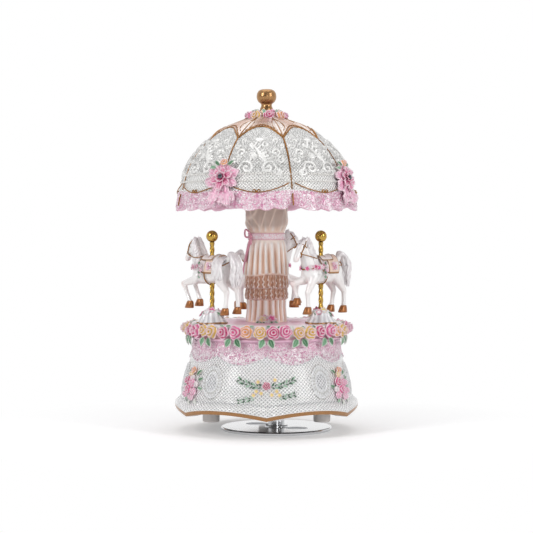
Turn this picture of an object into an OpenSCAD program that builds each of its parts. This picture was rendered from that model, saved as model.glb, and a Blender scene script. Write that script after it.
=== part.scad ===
// Carousel music box: three horses under a draped canopy, turning on the winding disc it stands on.
// Millimetres. Origin on the carousel's centre line at the table, +Z up, front towards -Y.

/* [Winding disc] */
// Diameter of the disc that stands on the table
disc_d = 60; // [58:0.5:62]
// Diameter of the two finger holes in the disc
finger_hole_d = 12; // [11:0.5:13]
// Distance from the disc's centre to each finger hole
finger_hole_r = 14.6; // [14:0.1:15.5]
// How far the winding axis lies to the right of the carousel's centre line
winder_offset = 5.4; // [5:0.1:5.8]

/* [Base] */
// Radius of the base at its gold rim
base_rim_r = 49.5; // [49:0.25:50.5]
// How high each arch of the rim rises between two points
rim_arch_rise = 2.9; // [2:0.1:3.2]
// Diameter of each foot
foot_d = 9; // [8:0.5:10]

/* [Platform] */
// Radius of the platform that the roses are glued to
platform_r = 41.5; // [41:0.25:42]
// Number of roses in the garland
garland_roses = 40; // [36:4:40]
// Diameter of a garland rose
rose_d = 6.3; // [5.6:0.1:6.4]

/* [Horses and poles] */
// Radius of the circle on which the poles stand
pole_circle_r = 33.3; // [32.8:0.1:33.8]
// Diameter of a twisted pole over its edges
pole_d = 2.6; // [2.2:0.1:2.8]
// Diameter of the ball on each pole
pole_ball_d = 6.3; // [5.6:0.1:7]

/* [Column] */
// Radius of the column at the hem of its drape
column_r = 12.7; // [12:0.1:13.2]

/* [Canopy] */
// Radius of the canopy at its hem
canopy_r = 48.9; // [48:0.1:50]
// Wall thickness of the canopy
canopy_wall = 4; // [3.4:0.1:4.4]
// How far the hem hangs lower in the middle of a panel than at a rib
hem_drop = 2.3; // [1.6:0.1:2.6]
// Diameter of the finial ball
finial_d = 10.7; // [9.8:0.1:11.6]

/* [Cast relief] */
// How far the raised panels, the lace skirt and the medallions stand proud
relief = 0.7; // [0.4:0.1:1]
// Number of scallops in the lace skirt
skirt_scallops = 9; // [8:1:10]

/* [Movement] */
// Number of comb teeth
comb_teeth = 18; // [16:1:18]
// Number of pins along each track of the tune cylinder
pins_per_track = 3; // [2:1:3]

/* [Hidden] */
$fn = 64;
foot_z = 6.3;
plate_z = 12.5;
plate_h = 2.5;
bed_z = plate_z + plate_h;
bed_h = 2;
bed_top = bed_z + bed_h;
rim_z = 9.8;
base_top = 49.5;
cavity_r = 35.5;
recess_r = 42;
platform_z = 58.5;
column_top = 140;
canopy_z = 118.6;
rib_turn = 16.4;
bow_turn = -28.6;
panels = 8;
arbor_r = 2;
run_fit = 0.05;
hub_top = 10.6;
cyl_z = 26;
drum_r = 6.2;
drum_near = -12;
drum_far = -29;
shaft_r = 1;
crown_teeth = 34;
crown_r = crown_teeth * 0.4;
pinion_teeth = 10;
pinion_r = pinion_teeth * 0.4;
pinion_x = winder_offset - crown_r;
gear_teeth = 32;
gear_r = gear_teeth * 0.25;
gov_teeth = 12;
gov_r = gov_teeth * 0.25;
gov_y = gear_r + gov_r;
wheel_teeth = 14;
wheel_r = wheel_teeth * 0.25;
wheel_x = -23;
worm_y = gov_y + wheel_r + 1.5;
worm_lead = PI * 0.5;
fine_r = 0.6;
pole_r = pole_d / 2;
pole_angles = [-60, 60, 180];
spring_turns = 9;

// Stands its children on a circle, at an angle from the front, with -Y pointing outwards
module around(angle, radius, z = 0) {
    rotate([0, 0, angle])
        translate([0, -radius, z])
            children();
}

// A round bar along X
module bar_x(x0, x1, radius) {
    translate([x0, 0, 0])
        rotate([0, 90, 0])
            cylinder(r = radius, h = x1 - x0);
}

// Lays an XY outline across the X axis, outline X along +Y and outline Y along +Z
module across_x(x0, x1) {
    translate([x0, 0, 0])
        rotate([90, 0, 90])
            linear_extrude(height = x1 - x0)
                children();
}

// A toothed outline with straight flanks and a tooth on its X axis
module toothed(teeth, root, pitch, tip, root_w, pitch_w, tip_w) {
    half = function (width, radius) width / radius * 180 / PI;
    polygon([
        for (i = [0 : teeth - 1])
            for (p = [[root, -root_w], [pitch, -pitch_w], [tip, -tip_w],
                      [tip, tip_w], [pitch, pitch_w], [root, root_w]])
                let (a = 360 * i / teeth + half(p[1], p[0]))
                    p[0] * [cos(a), sin(a)]
    ]);
}

// A rose on a flat back, opening towards -Y
module rose(d) {
    r = d / 2;
    rotate([90, 0, 0])
        rotate_extrude()
            polygon([[0, 0], [0.7, 0], [1, 0.5], [0.94, 0.75], [0.74, 0.7],
                     [0.7, 0.95], [0.46, 1.02], [0.4, 0.92], [0.3, 1.16], [0, 1.24]] * r);
}

// A leaf lying in XZ, its tip towards -Z, facing -Y
module leaf(length, width, thick) {
    big = (length * length + width * width) / (4 * width);
    shift = big - width / 2;
    rotate([90, 0, 0])
        intersection() {
            translate([shift, 0, 0])
                cylinder(r = big, h = thick);
            translate([-shift, 0, 0])
                cylinder(r = big, h = thick);
        }
}

// A blunt petal, round and flattened, facing -Y
module petal(r, thick) {
    rotate([90, 0, 0])
        rotate_extrude()
            polygon([[0, -thick], [r * 0.75, -thick * 0.6], [r, 0], [r * 0.75, thick * 0.6], [0, thick]]);
}

// Pan-headed screw hanging with its head downwards, shank from z = 0 upwards
module screw_up(head_r, head_h, shank_r, shank_h) {
    translate([0, 0, -head_h])
        difference() {
            cylinder(r = head_r, h = head_h);
            translate([-head_r, -0.25, -0.1])
                cube([2 * head_r, 0.5, head_h * 0.5]);
        }
    cylinder(r = shank_r, h = shank_h);
}

// A tapering rounded limb between two points
module limb(p, q, r0, r1, n = 12) {
    hull() {
        translate(p)
            sphere(r = r0, $fn = n);
        translate(q)
            sphere(r = r1, $fn = n);
    }
}

// Winding disc, standing on its turned-down edge
module winding_disc() {
    r = disc_d / 2;
    color("silver")
        translate([winder_offset, 0, 0])
            difference() {
                rotate_extrude($fn = 96)
                    polygon([[arbor_r, 1], [r - 1.6, 1], [r - 1.1, 0.7], [r - 1.1, 0], [r - 0.3, 0],
                             [r, 0.3], [r, 1.4], [r - 0.25, 1.8], [r - 0.8, 2], [arbor_r, 2]]);
                for (a = [47, 227])
                    around(a, finger_hole_r, -1)
                        cylinder(d = finger_hole_d, h = 4);
            }
}

// Hub that joins the disc to the arbor
module disc_hub() {
    color("silver")
        translate([winder_offset, 0, 0])
            rotate_extrude()
                polygon([[arbor_r, 2], [6.2, 2], [6.2, 2.5], [5.9, 2.8], [4.3, 2.8],
                         [4.3, hub_top - 0.4], [3.9, hub_top], [arbor_r, hub_top]]);
}

// Winding arbor with the collar that carries the bedplate
module winding_arbor() {
    color("gainsboro")
        translate([winder_offset, 0, 0]) {
            translate([0, 0, 0.8])
                cylinder(r = arbor_r, h = 33.2);
            translate([0, 0, 13.2])
                cylinder(r = 3.2, h = 1.75);
        }
}

// Great wheel: a crown wheel with its teeth hanging down
module great_wheel() {
    color("goldenrod")
        translate([winder_offset, 0, 0]) {
            difference() {
                union() {
                    translate([0, 0, 31])
                        cylinder(r = crown_r + 1.3, h = 1.4);
                    translate([0, 0, 29.4])
                        cylinder(r = 4, h = 4);
                }
                translate([0, 0, 29])
                    cylinder(r = arbor_r, h = 6);
            }
            for (i = [0 : crown_teeth - 1])
                rotate([0, 0, 180 + 360 * i / crown_teeth])
                    translate([crown_r - 1.3, 0, 0])
                        rotate([90, 0, 90])
                            linear_extrude(height = 2.4)
                                polygon([[-0.62, 31.1], [-0.62, 31], [-0.4, 30], [-0.22, 29.25],
                                         [0.22, 29.25], [0.4, 30], [0.62, 31], [0.62, 31.1]]);
        }
}

function base_outline() =
    [[base_rim_r, 14.3], [48.6, 15.6], [46.4, 16.8], [45.9, 19.4], [45, 26],
     [43.8, 31], [42.4, 35.5], [40.8, 40], [39.8, 43.4], [39.2, base_top]];

// A skin over an outline, from a little inside it to its proud surface
module skin(outline, out, in) {
    last = len(outline) - 1;
    rotate_extrude($fn = 128)
        polygon(concat([for (p = outline) p + out], [for (i = [last : -1 : 0]) outline[i] - in]));
}

// Lace skirt with its scalloped edge, raised on the base
module raised_skirt() {
    step = 360 / skirt_scallops;
    half = 41.6 * tan(step / 2);
    intersection() {
        skin([for (p = base_outline()) if (p[1] > 35) p], [relief, 0], [2, 0]);
        for (i = [0 : skirt_scallops - 1])
            around(step * (i + 0.5), 20)
                rotate([90, 0, 0])
                    linear_extrude(height = 30)
                        polygon(concat([[half, 50], [-half, 50]],
                            [for (k = [-4 : 4]) [half * k / 4, 38.2 + 4.4 * pow(k / 4, 2)]]));
    }
}

// Oval medallions, two beside each bouquet
module raised_medallions() {
    intersection() {
        skin([for (p = base_outline()) if (p[1] > 16 && p[1] < 42) p], [relief, 0], [2, 0]);
        for (a = pole_angles)
            for (side = [-20, 20])
                around(a + side, 30, 29)
                    rotate([90, 0, 0])
                        scale([0.77, 1, 1])
                            difference() {
                                cylinder(r = 8.6, h = 24);
                                translate([0, 0, -1])
                                    cylinder(r = 5.4, h = 26);
                            }
    }
}

// Base casting: bell with a flared rim, open underneath
module base_shell() {
    arch_r = (pow(base_rim_r / 2 - 0.5, 2) + pow(rim_arch_rise, 2)) / (2 * rim_arch_rise);
    color("ghostwhite")
        difference() {
            union() {
                rotate_extrude($fn = 128)
                    polygon(concat(
                        [[recess_r, rim_z], [base_rim_r - 0.5, rim_z], [base_rim_r, rim_z + 0.8]],
                        base_outline(),
                        [[cavity_r, base_top], [cavity_r, bed_z], [recess_r, bed_z]]));
                raised_skirt();
                raised_medallions();
            }
            for (a = [30 : 60 : 330])
                around(a, 0, rim_z + rim_arch_rise - arch_r)
                    rotate([90, 0, 0])
                        translate([0, 0, 30])
                            cylinder(r = arch_r, h = 24, $fn = 256);
            for (a = [0, 120, 240])
                around(a, 38.5, bed_z - 1)
                    cylinder(r = 1, h = 7);
        }
}

// Plate that closes the base and carries the movement
module bottom_plate() {
    color("dimgray")
        difference() {
            translate([0, 0, plate_z])
                cylinder(r = 41.5, h = plate_h, $fn = 96);
            translate([winder_offset, 0, plate_z - 1])
                cylinder(r = 6, h = plate_h + 2);
            for (a = [0, 120, 240])
                around(a, 38.5, plate_z - 1)
                    cylinder(r = 1.15, h = plate_h + 2);
            for (p = bed_screw_spots())
                translate([p[0], p[1], plate_z - 1])
                    cylinder(r = 1.15, h = plate_h + 2);
        }
}

function bed_screw_spots() = [[22, 16], [22, -16], [-14, -26], [-14, 26]];

// Screws that hold the bottom plate to the base
module plate_screws() {
    color("silver")
        for (a = [0, 120, 240])
            around(a, 38.5, plate_z)
                screw_up(2.1, 1.2, 1, 7.5);
}

// Three feet under the bottom plate
module feet() {
    r = foot_d / 2;
    color("linen")
        for (a = pole_angles)
            around(a, 34, 0)
                rotate_extrude()
                    polygon([[0, foot_z], [r - 0.6, foot_z], [r - 0.15, foot_z + 0.25],
                             [r, foot_z + 0.8], [r, plate_z], [0, plate_z]]);
}

// Flowers of the three bouquets on the base, and of the three sprigs between them
module bouquet_flowers() {
    color("hotpink")
        for (a = pole_angles) {
            around(a + 60, 44.4, 27.8)
                rotate([-13, 0, 0])
                    rose(4.4);
            around(a, 43.1, 32.4)
                rotate([-14, 0, 0])
                    rose(5.2);
            around(a - 4.6, 44, 27)
                rotate([-12, 0, 0])
                    rose(5.6);
            around(a + 4.4, 44.3, 24.6)
                rotate([-12, 0, 0])
                    rose(5.2);
            around(a - 1.2, 44.9, 20.6)
                rotate([-8, 0, 0])
                    rose(4.2);
        }
}

// Leaves of the three bouquets on the base
module bouquet_leaves() {
    color("seagreen")
        for (a = pole_angles)
            for (l = [[-8.6, 44.2, 23.2, -50], [8.6, 44.2, 21.6, 55],
                      [-6.6, 43.4, 31.6, -135], [6.4, 43.4, 30.6, 130]])
                around(a + l[0], l[1], l[2])
                    rotate([-10, l[3], 0])
                        leaf(7, 3.4, 1.6);
}

// Platform casting that carries column, poles and roses
module platform() {
    color("pink")
        difference() {
            rotate_extrude($fn = 128)
                polygon([[0, 54.5], [33, 54.5], [33, 47], [35.3, 47], [35.3, base_top],
                         [recess_r, base_top], [recess_r, 50.6], [recess_r - 0.4, 51],
                         [platform_r - 1.2, 51.2], [platform_r, 52], [platform_r, platform_z - 0.8],
                         [platform_r - 0.8, platform_z], [0, platform_z]]);
            translate([0, 0, 54])
                cylinder(r = 8, h = 6);
            for (a = pole_angles)
                around(a, pole_circle_r, 54)
                    cylinder(r = pole_r, h = 6);
        }
}

// Garland roses whose place in the pattern of four is in the list
module garland_part(places) {
    for (i = [0 : garland_roses - 1])
        if (len(search(i % 4, places)) > 0)
            around(360 * (i + 0.5) / garland_roses, platform_r - 0.3, 55)
                rose(rose_d);
}

// Pink roses round the platform
module garland_pink_roses() {
    color("hotpink")
        garland_part([0, 1]);
}

// Yellow and orange roses round the platform
module garland_yellow_roses() {
    color("khaki")
        garland_part([2, 3]);
}

// Pairs of leaves hanging under the roses
module garland_leaves() {
    color("seagreen")
        for (i = [0 : 14])
            for (side = [-1, 1])
                around(24 * i + side * 2.4, 41.4, 50.4)
                    rotate([6, side * -24, 0])
                        leaf(6, 3, 1.5);
}

// Fluted mound with the gold edge round the foot of a pole
module pole_mound(angle) {
    color("snow")
        around(angle, pole_circle_r)
            rotate_extrude()
                polygon([[pole_r + 0.1, platform_z], [7.6, platform_z], [8.1, platform_z + 0.5],
                         [7.8, platform_z + 1.3], [6.6, platform_z + 2.6], [5.4, platform_z + 4.6],
                         [4.9, platform_z + 6], [4, platform_z + 7.2], [pole_r + 0.1, platform_z + 7.6]]);
}

module pole_mound_1() {
    pole_mound(pole_angles[0]);
}

module pole_mound_2() {
    pole_mound(pole_angles[1]);
}

module pole_mound_3() {
    pole_mound(pole_angles[2]);
}

// Twisted square pole with round ends
module pole(angle) {
    side = pole_d * 0.735;
    color("gold")
        around(angle, pole_circle_r) {
            translate([0, 0, 54.5])
                cylinder(r = pole_r, h = 13);
            translate([0, 0, 67])
                linear_extrude(height = 34, twist = 800, slices = 40, $fn = 4)
                    square([side, side], center = true);
            translate([0, 0, 100.6])
                cylinder(r = pole_r * 0.9, h = 5);
        }
}

module pole_1() {
    pole(pole_angles[0]);
}

module pole_2() {
    pole(pole_angles[1]);
}

module pole_3() {
    pole(pole_angles[2]);
}

// Ball pushed on to the top of a pole
module pole_ball(angle) {
    color("gold")
        around(angle, pole_circle_r, 104.8)
            difference() {
                sphere(d = pole_ball_d);
                translate([0, 0, -5])
                    cylinder(r = pole_r * 0.9, h = 5.8);
            }
}

module pole_ball_1() {
    pole_ball(pole_angles[0]);
}

module pole_ball_2() {
    pole_ball(pole_angles[1]);
}

module pole_ball_3() {
    pole_ball(pole_angles[2]);
}

// One leg: thigh to knee, knee to fetlock, hoof
module leg(hip, knee, foot, thick) {
    limb(hip, knee, thick, 1.75, 10);
    limb(knee, foot, 1.6, 1.3, 10);
    limb(foot + [0.2, 0, -0.4], foot + [0.7, 0, -2], 1.5, 1.9, 10);
}

// A jumping horse, nose towards +X, with its pole hole on the Z axis
module horse(fore_left, fore_right, hind_left, hind_right, lift) {
    difference() {
        translate([0, 0, 86]) {
            hull() {
                for (p = [[7.5, 1.4, 5.2], [7.5, -2, 5], [-7.5, 2.2, 5.5], [-7.5, -1, 5.2]])
                    translate([p[0], 0, p[1]])
                        sphere(r = p[2], $fn = 16);
            }
            limb([8.5, 0, 3], [13.2, 0, 12 + lift], 5, 3.3, 14);
            limb([13.8, 0, 14.2 + lift], [19, 0, 7.2 + lift], 3.2, 2, 14);
            limb([9, 0, 8], [10.8, 0, 16 + lift], 2.2, 1.8, 10);
            for (side = [-1, 1])
                limb([12.6, side * 1.7, 16.6 + lift], [12.4, side * 2, 19.2 + lift], 0.9, 0.4, 8);
            limb([-11.5, 0, 6], [-16, 0, 9.4], 2, 2.6, 10);
            limb([-16, 0, 9.4], [-19, 0, -1], 2.6, 2.9, 10);
            limb([-19, 0, -1], [-18.4, 0, -7], 2.9, 1.2, 10);
            leg([8, 3, -3], fore_left[0], fore_left[1], 3);
            leg([8, -3, -3], fore_right[0], fore_right[1], 3);
            leg([-8.5, 2.9, -2], hind_left[0], hind_left[1], 3.8);
            leg([-8.5, -2.9, -2], hind_right[0], hind_right[1], 3.8);
        }
        translate([0, 0, 60])
            cylinder(r = pole_r + 0.1, h = 50, $fn = 24);
    }
}

// Stands a horse on its pole, turned a little from its way round the circle
module stand_horse(angle, yaw) {
    around(angle, pole_circle_r)
        rotate([0, 0, 180 + yaw])
            children();
}

// Left horse, both knees raised
module horse_1() {
    color("seashell")
        stand_horse(pole_angles[0], 15)
            horse([[18.6, 3.4, -6.6], [13.6, 3.4, -16.4]], [[17.6, -3.4, -5.6], [12.8, -3.4, -15.6]],
                  [[-14.6, 3.3, -10.4], [-13.6, 3.3, -19.4]], [[-16, -3.3, -9.6], [-16.4, -3.3, -18.8]], 0);
}

// Right horse, one foreleg down
module horse_2() {
    color("seashell")
        stand_horse(pole_angles[1], -15)
            horse([[13.4, 3.4, -10.8], [13, 3.4, -18.8]], [[17.8, -3.4, -6], [14.6, -3.4, -14.2]],
                  [[-14.6, 3.3, -10.4], [-14.4, 3.3, -18.8]],
                  [[-13.4, -3.3, -10.4], [-11.6, -3.3, -18.6]], 0);
}

// Back horse, head raised
module horse_3() {
    color("seashell")
        stand_horse(pole_angles[2], 0)
            horse([[17.8, 3.4, -6.4], [16.2, 3.4, -16]], [[15.6, -3.4, -8.6], [14.6, -3.4, -18.2]],
                  [[-15.4, 3.3, -10], [-16.2, 3.3, -18.8]],
                  [[-14.2, -3.3, -10.4], [-13.6, -3.3, -19.2]], 3.6);
}

// Draped column: lower pleats, two ruffles, curtain, sash and gathered top
module column() {
    k = column_r / 12.7;
    color("peachpuff") {
        rotate_extrude($fn = 96)
            polygon([[0, platform_z], [11.3 * k, platform_z], [10.6 * k, 66], [10.2 * k, 70.6],
                     [12 * k, 71], [11.8 * k, 73], [10.9 * k, 76.6], [12.1 * k, 77], [11.9 * k, 79],
                     [11.2 * k, 83], [12.7 * k, 83.6], [12 * k, 88], [10.6 * k, 96], [9.4 * k, 102.4],
                     [9.2 * k, 105], [9.5 * k, 107], [10.3 * k, 109.4], [10.9 * k, 112], [11.2 * k, 116],
                     [11.1 * k, 121], [10.7 * k, 127], [10.4, 134], [10.4, column_top], [0, column_top]]);
        translate([0, 0, 54.6])
            cylinder(r = 8, h = 5);
        translate([0, 0, column_top - 1])
            cylinder(r = 6, h = 14);
    }
}

function canopy_outline() =
    let (k = canopy_r / 48.9)
        [[48.9 * k, canopy_z], [48.9 * k, 121], [47.5 * k, 127], [45.6 * k, 132.5], [44 * k, 138],
         [41.6 * k, 143.5], [38.3 * k, 148.5], [33.4 * k, 154], [27 * k, 159.6], [19.5 * k, 164],
         [15 * k, 166], [11.6 * k, 167.6], [8.4 * k, 169.4]];

// One step of each panel's swell, over part of its width and height
module panel_step(width, low, high, out) {
    band = [for (p = canopy_outline()) if (p[1] > low && p[1] < high) p];
    last = len(band) - 1;
    for (i = [0 : panels - 1])
        rotate([0, 0, rib_turn - 90 + 360 / panels * (i + 0.5) - width / 2])
            rotate_extrude(angle = width)
                polygon(concat([for (p = band) p + out * [0.9, 0.5]],
                    [for (j = [last : -1 : 0]) band[j] - [1.5, 1]]));
}

// Main scrolls of each panel, as plain rings lying on it
module panel_scrolls() {
    for (i = [0 : panels - 1])
        for (s = [[-7.4, 43, 140.6, 24, 3.7], [7.4, 43, 140.6, 24, 3.7], [0, 36, 151.4, 42, 3]])
            around(rib_turn + 360 / panels * (i + 0.5) + s[0], s[1] * canopy_r / 48.9, s[2])
                rotate([90 - s[3], 0, 0])
                    translate([0, 0, -1])
                        difference() {
                            cylinder(r = s[4], h = 1.6 + relief);
                            translate([0, 0, 1])
                                cylinder(r = s[4] - 1.5, h = 3);
                        }
}

// Canopy casting: a shell with eight ribs, a wavy hem and a hub for the column
module canopy() {
    k = canopy_r / 48.9;
    w = canopy_wall;
    color("ghostwhite")
        difference() {
            union() {
                rotate_extrude($fn = 128)
                    polygon(concat(canopy_outline(), [
                        [4.6, 171.6], [3, 172.6], [0, 172.6], [0, 161.5], [14, 161.5],
                        [19.4 * k - w, 160], [25.4 * k - w, 156.4], [31 * k - w, 151.4],
                        [36.4 * k - w, 146], [40.4 * k - w, 140.6], [43 * k - w, 135.4],
                        [44.8 * k - w, 130], [46.6 * k - w, 124.6], [48 * k - w, 119.6],
                        [48 * k - w, canopy_z]]));
                translate([0, 0, column_top])
                    cylinder(r1 = 10.4, r2 = 13, h = 22);
                panel_step(40.6, 131, 155, relief * 0.6);
                panel_step(27, 137, 160, relief * 1.1);
                panel_scrolls();
                for (i = [0 : panels - 1])
                    rotate([0, 0, rib_turn - 90 - 0.9 + 360 / panels * i])
                        rotate_extrude(angle = 1.8)
                            polygon([[47, 126], [47.9 * k, 127], [46.2 * k, 132.6], [44.6 * k, 138.2],
                                     [42.2 * k, 143.8], [38.9 * k, 148.9], [33.9 * k, 154.5], [33, 153.6],
                                     [37, 148.5], [40.2, 143.5], [42.6, 138], [44.2, 132.5], [46, 127]]);
            }
            translate([0, 0, column_top - 1])
                cylinder(r = 6, h = 15);
            translate([0, 0, 166])
                cylinder(r = 1.6, h = 8);
            for (i = [0 : panels - 1])
                rotate([0, 0, rib_turn + 360 / panels * (i + 0.5)])
                    hem_cut(canopy_r * sin(180 / panels));
        }
}

// What is cut from under one panel, so that its hem hangs lowest in the middle
module hem_cut(half) {
    steps = 8;
    wide = half + 1;
    curve = [for (i = [-steps : steps]) [wide * i / steps, canopy_z + hem_drop * pow(i / steps, 2)]];
    translate([0, -30, 0])
        rotate([90, 0, 0])
            linear_extrude(height = 26)
                polygon(concat([[-wide, canopy_z - 1]], curve, [[wide, canopy_z - 1]]));
}

// Four flower bows on alternate ribs
module canopy_bows() {
    color("lightpink")
        for (i = [0 : 3])
            around(bow_turn + 90 * i, 45.4, 135)
                rotate([-14, 0, 0]) {
                    for (p = [[-4.6, 1.8], [4.6, 1.8], [-4.2, -2.4], [4.2, -2.4]])
                        translate([p[0], -1.2, p[1]])
                            petal(3.9, 2.2);
                    translate([0, -1.2, -3.6])
                        petal(3, 2.2);
                    translate([0, -0.6, 3.6])
                        petal(2.6, 2.4);
                    for (side = [-1, 1])
                        translate([side * 3.4, 0.2, -8])
                            rotate([0, side * -16, 0])
                                leaf(10, 4, 2.4);
                }
}

// Cut stone in the middle of each bow
module rhinestones() {
    color("dimgray")
        for (i = [0 : 3])
            around(bow_turn + 90 * i, 45.4, 135)
                rotate([-14, 0, 0])
                    translate([0, -2.6, 0])
                        rotate([90, 0, 0])
                            rotate_extrude()
                                polygon([[0, 0], [1.9, 0], [1.9, 0.5], [1.1, 1.3], [0, 1.3]]);
}

// Roses round the crown of the canopy
module wreath_roses() {
    color("hotpink")
        for (i = [0 : 7])
            around(45 * i + 8, 7.3, 169)
                rotate([-28, 0, 0])
                    rose(5.6);
}

// Leaves under the roses of the crown
module wreath_leaves() {
    color("seagreen")
        for (i = [0 : 7])
            around(45 * i + 30.5, 10.6, 167.5)
                rotate([-58, 12, 0])
                    leaf(6.4, 3.2, 1.4);
}

// Apple-shaped finial on its neck, with the stud that holds it
module finial() {
    r = finial_d / 2;
    color("darkgoldenrod") {
        rotate_extrude()
            polygon([[0, 172.6], [3.6, 172.6], [3.9, 173.2], [3.1, 174.2], [2.8, 175.4], [3.2, 176],
                     [0.8 * r, 176.9], [0.97 * r, 178.4], [r, 179.8], [0.95 * r, 181.6], [0.78 * r, 183],
                     [0.5 * r, 183.8], [0.25 * r, 183.6], [0, 183.1]]);
        translate([0, 0, 166.2])
            cylinder(r = 1.6, h = 7);
    }
}

// Bedplate of the movement
module bedplate() {
    color("lightgray")
        difference() {
            intersection() {
                translate([0, 0, bed_z])
                    cylinder(r = 34.5, h = bed_h, $fn = 96);
                translate([-33.4, -29, bed_z])
                    cube([66, 58, bed_h]);
            }
            translate([winder_offset, 0, bed_z - 1])
                cylinder(r = arbor_r + run_fit, h = bed_h + 2);
            for (p = bed_screw_spots())
                translate([p[0], p[1], bed_z - 1])
                    cylinder(r = 1, h = bed_h + 2);
        }
}

// Screws from the bottom plate into the bedplate
module bed_screws() {
    color("silver")
        for (p = bed_screw_spots())
            translate([p[0], p[1], plate_z])
                screw_up(2, 1.2, 1, plate_h + bed_h);
}

// Barrel that holds the mainspring
module spring_barrel() {
    color("goldenrod")
        translate([winder_offset, 0, bed_top])
            rotate_extrude()
                polygon([[arbor_r + run_fit, 0], [10.5, 0], [10.5, 10.7], [9.7, 10.7], [9.7, 0.8],
                         [arbor_r + run_fit, 0.8]]);
}

// Lid of the spring barrel
module barrel_cap() {
    color("goldenrod")
        translate([winder_offset, 0, bed_top + 10.7])
            rotate_extrude()
                polygon([[arbor_r + run_fit, 0], [10.5, 0], [10.5, 0.8], [arbor_r + run_fit, 0.8]]);
}

// Mainspring: a flat strip coiled in the barrel
module mainspring() {
    steps = spring_turns * 24;
    inner = function (i) 2.5 + 6.9 * i / steps;
    at = function (i, out) (inner(i) + out) * [cos(15 * i), sin(15 * i)];
    color("steelblue")
        translate([winder_offset, 0, bed_top + 1.2])
            linear_extrude(height = 9)
                polygon(concat([for (i = [0 : steps]) at(i, 0)], [for (i = [steps : -1 : 0]) at(i, 0.3)]));
}

// Upright plate with a bearing for the cylinder shaft
module cylinder_bracket(x) {
    color("lightgray")
        difference() {
            union() {
                translate([x, -3.4, bed_top])
                    cube([1.2, 6.8, cyl_z - bed_top]);
                translate([0, 0, cyl_z])
                    bar_x(x, x + 1.2, 3.4);
            }
            translate([0, 0, cyl_z])
                bar_x(x - 1, x + 3, shaft_r + run_fit);
        }
}

module cylinder_bracket_inner() {
    cylinder_bracket(-11.3);
}

module cylinder_bracket_outer() {
    cylinder_bracket(-32.6);
}

// Steel comb with its tuned teeth
module comb() {
    pitch = 16 / comb_teeth;
    color("lightsteelblue")
        difference() {
            union() {
                translate([-29, -20.2, cyl_z - 0.5])
                    cube([17, 5.2, 1]);
                for (i = [0 : comb_teeth - 1])
                    translate([-28.5 + pitch * (i + 0.5) - 0.32, -15.5, cyl_z - 0.3])
                        cube([0.64, 8.5, 0.6]);
            }
            for (x = [-26, -15])
                translate([x, -18, cyl_z - 2])
                    cylinder(r = 1.1, h = 4);
        }
}

// Block that carries the comb
module comb_base() {
    color("lightgray")
        difference() {
            translate([-29, -20.2, bed_top])
                cube([17, 5.2, cyl_z - 0.5 - bed_top]);
            for (x = [-26, -15])
                translate([x, -18, cyl_z - 5])
                    cylinder(r = 1, h = 6);
        }
}

// Screws that clamp the comb
module comb_screws() {
    color("silver")
        for (x = [-26, -15])
            translate([x, -18, cyl_z + 0.5])
                rotate([180, 0, 0])
                    screw_up(1.9, 1.1, 1, 5);
}

// Frame with the bearings of the governor wheel and the worm
module governor_frame() {
    color("lightgray")
        difference() {
            union() {
                for (x = [-28.2, -20.4])
                    translate([x, 8.6, bed_top])
                        cube([1, 11, 14]);
                translate([-28.2, 13.6, 31])
                    cube([8.8, 6, 1.4]);
                translate([-28.2, 13.6, bed_top])
                    cube([8.8, 6, 3]);
            }
            translate([0, gov_y, cyl_z])
                bar_x(-29, -18, fine_r + run_fit);
            translate([wheel_x, worm_y, bed_top + 1])
                cylinder(r = fine_r + run_fit, h = 18);
        }
}

// Brass drum with the pins of the tune
module tune_cylinder() {
    pitch = 16 / comb_teeth;
    color("goldenrod")
        translate([0, 0, cyl_z]) {
            difference() {
                bar_x(drum_far, drum_near, drum_r);
                bar_x(drum_far - 1, drum_near + 1, shaft_r);
            }
            for (i = [0 : comb_teeth - 1])
                for (j = [0 : pins_per_track - 1])
                    translate([-28.5 + pitch * (i + 0.5), 0, 0])
                        rotate([(i * 83 + j * 131 + i * j * 29) % 360, 0, 0])
                            translate([0, 0, drum_r - 0.3])
                                cylinder(r = 0.2, h = 0.8);
        }
}

// Shaft of the tune cylinder
module cylinder_shaft() {
    color("silver")
        translate([0, 0, cyl_z])
            bar_x(-33.2, pinion_x + 1.6, shaft_r);
}

// Pinion driven by the great wheel
module cylinder_pinion() {
    color("silver")
        translate([0, 0, cyl_z])
            difference() {
                across_x(pinion_x - 1.1, pinion_x + 1.1)
                    rotate(18 + 90)
                        toothed(pinion_teeth, 3.05, pinion_r, 4.72, 0.62, 0.42, 0.2);
                bar_x(pinion_x - 2, pinion_x + 2, shaft_r);
            }
}

// Gear at the end of the cylinder
module cylinder_gear() {
    color("goldenrod")
        translate([0, 0, cyl_z])
            difference() {
                across_x(-30.8, -29.4)
                    toothed(gear_teeth, gear_r - 0.6, gear_r, gear_r + 0.42, 0.36, 0.26, 0.13);
                bar_x(-32, -28, shaft_r);
            }
}

// Shaft of the governor wheel
module governor_shaft() {
    color("silver")
        translate([0, gov_y, cyl_z])
            bar_x(-31, -18.8, fine_r);
}

// Pinion driven by the cylinder gear
module governor_pinion() {
    color("silver")
        translate([0, gov_y, cyl_z])
            difference() {
                across_x(-30.9, -29.3)
                    rotate(180 / gov_teeth)
                        toothed(gov_teeth, gov_r - 0.6, gov_r, gov_r + 0.42, 0.36, 0.26, 0.12);
                bar_x(-32, -28, fine_r);
            }
}

// Wheel that drives the worm
module worm_wheel() {
    color("goldenrod")
        translate([0, gov_y, cyl_z])
            difference() {
                across_x(wheel_x - 0.6, wheel_x + 0.6)
                    toothed(wheel_teeth, wheel_r - 0.55, wheel_r, wheel_r + 0.4, 0.32, 0.22, 0.12);
                bar_x(wheel_x - 2, wheel_x + 2, fine_r);
            }
}

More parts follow.
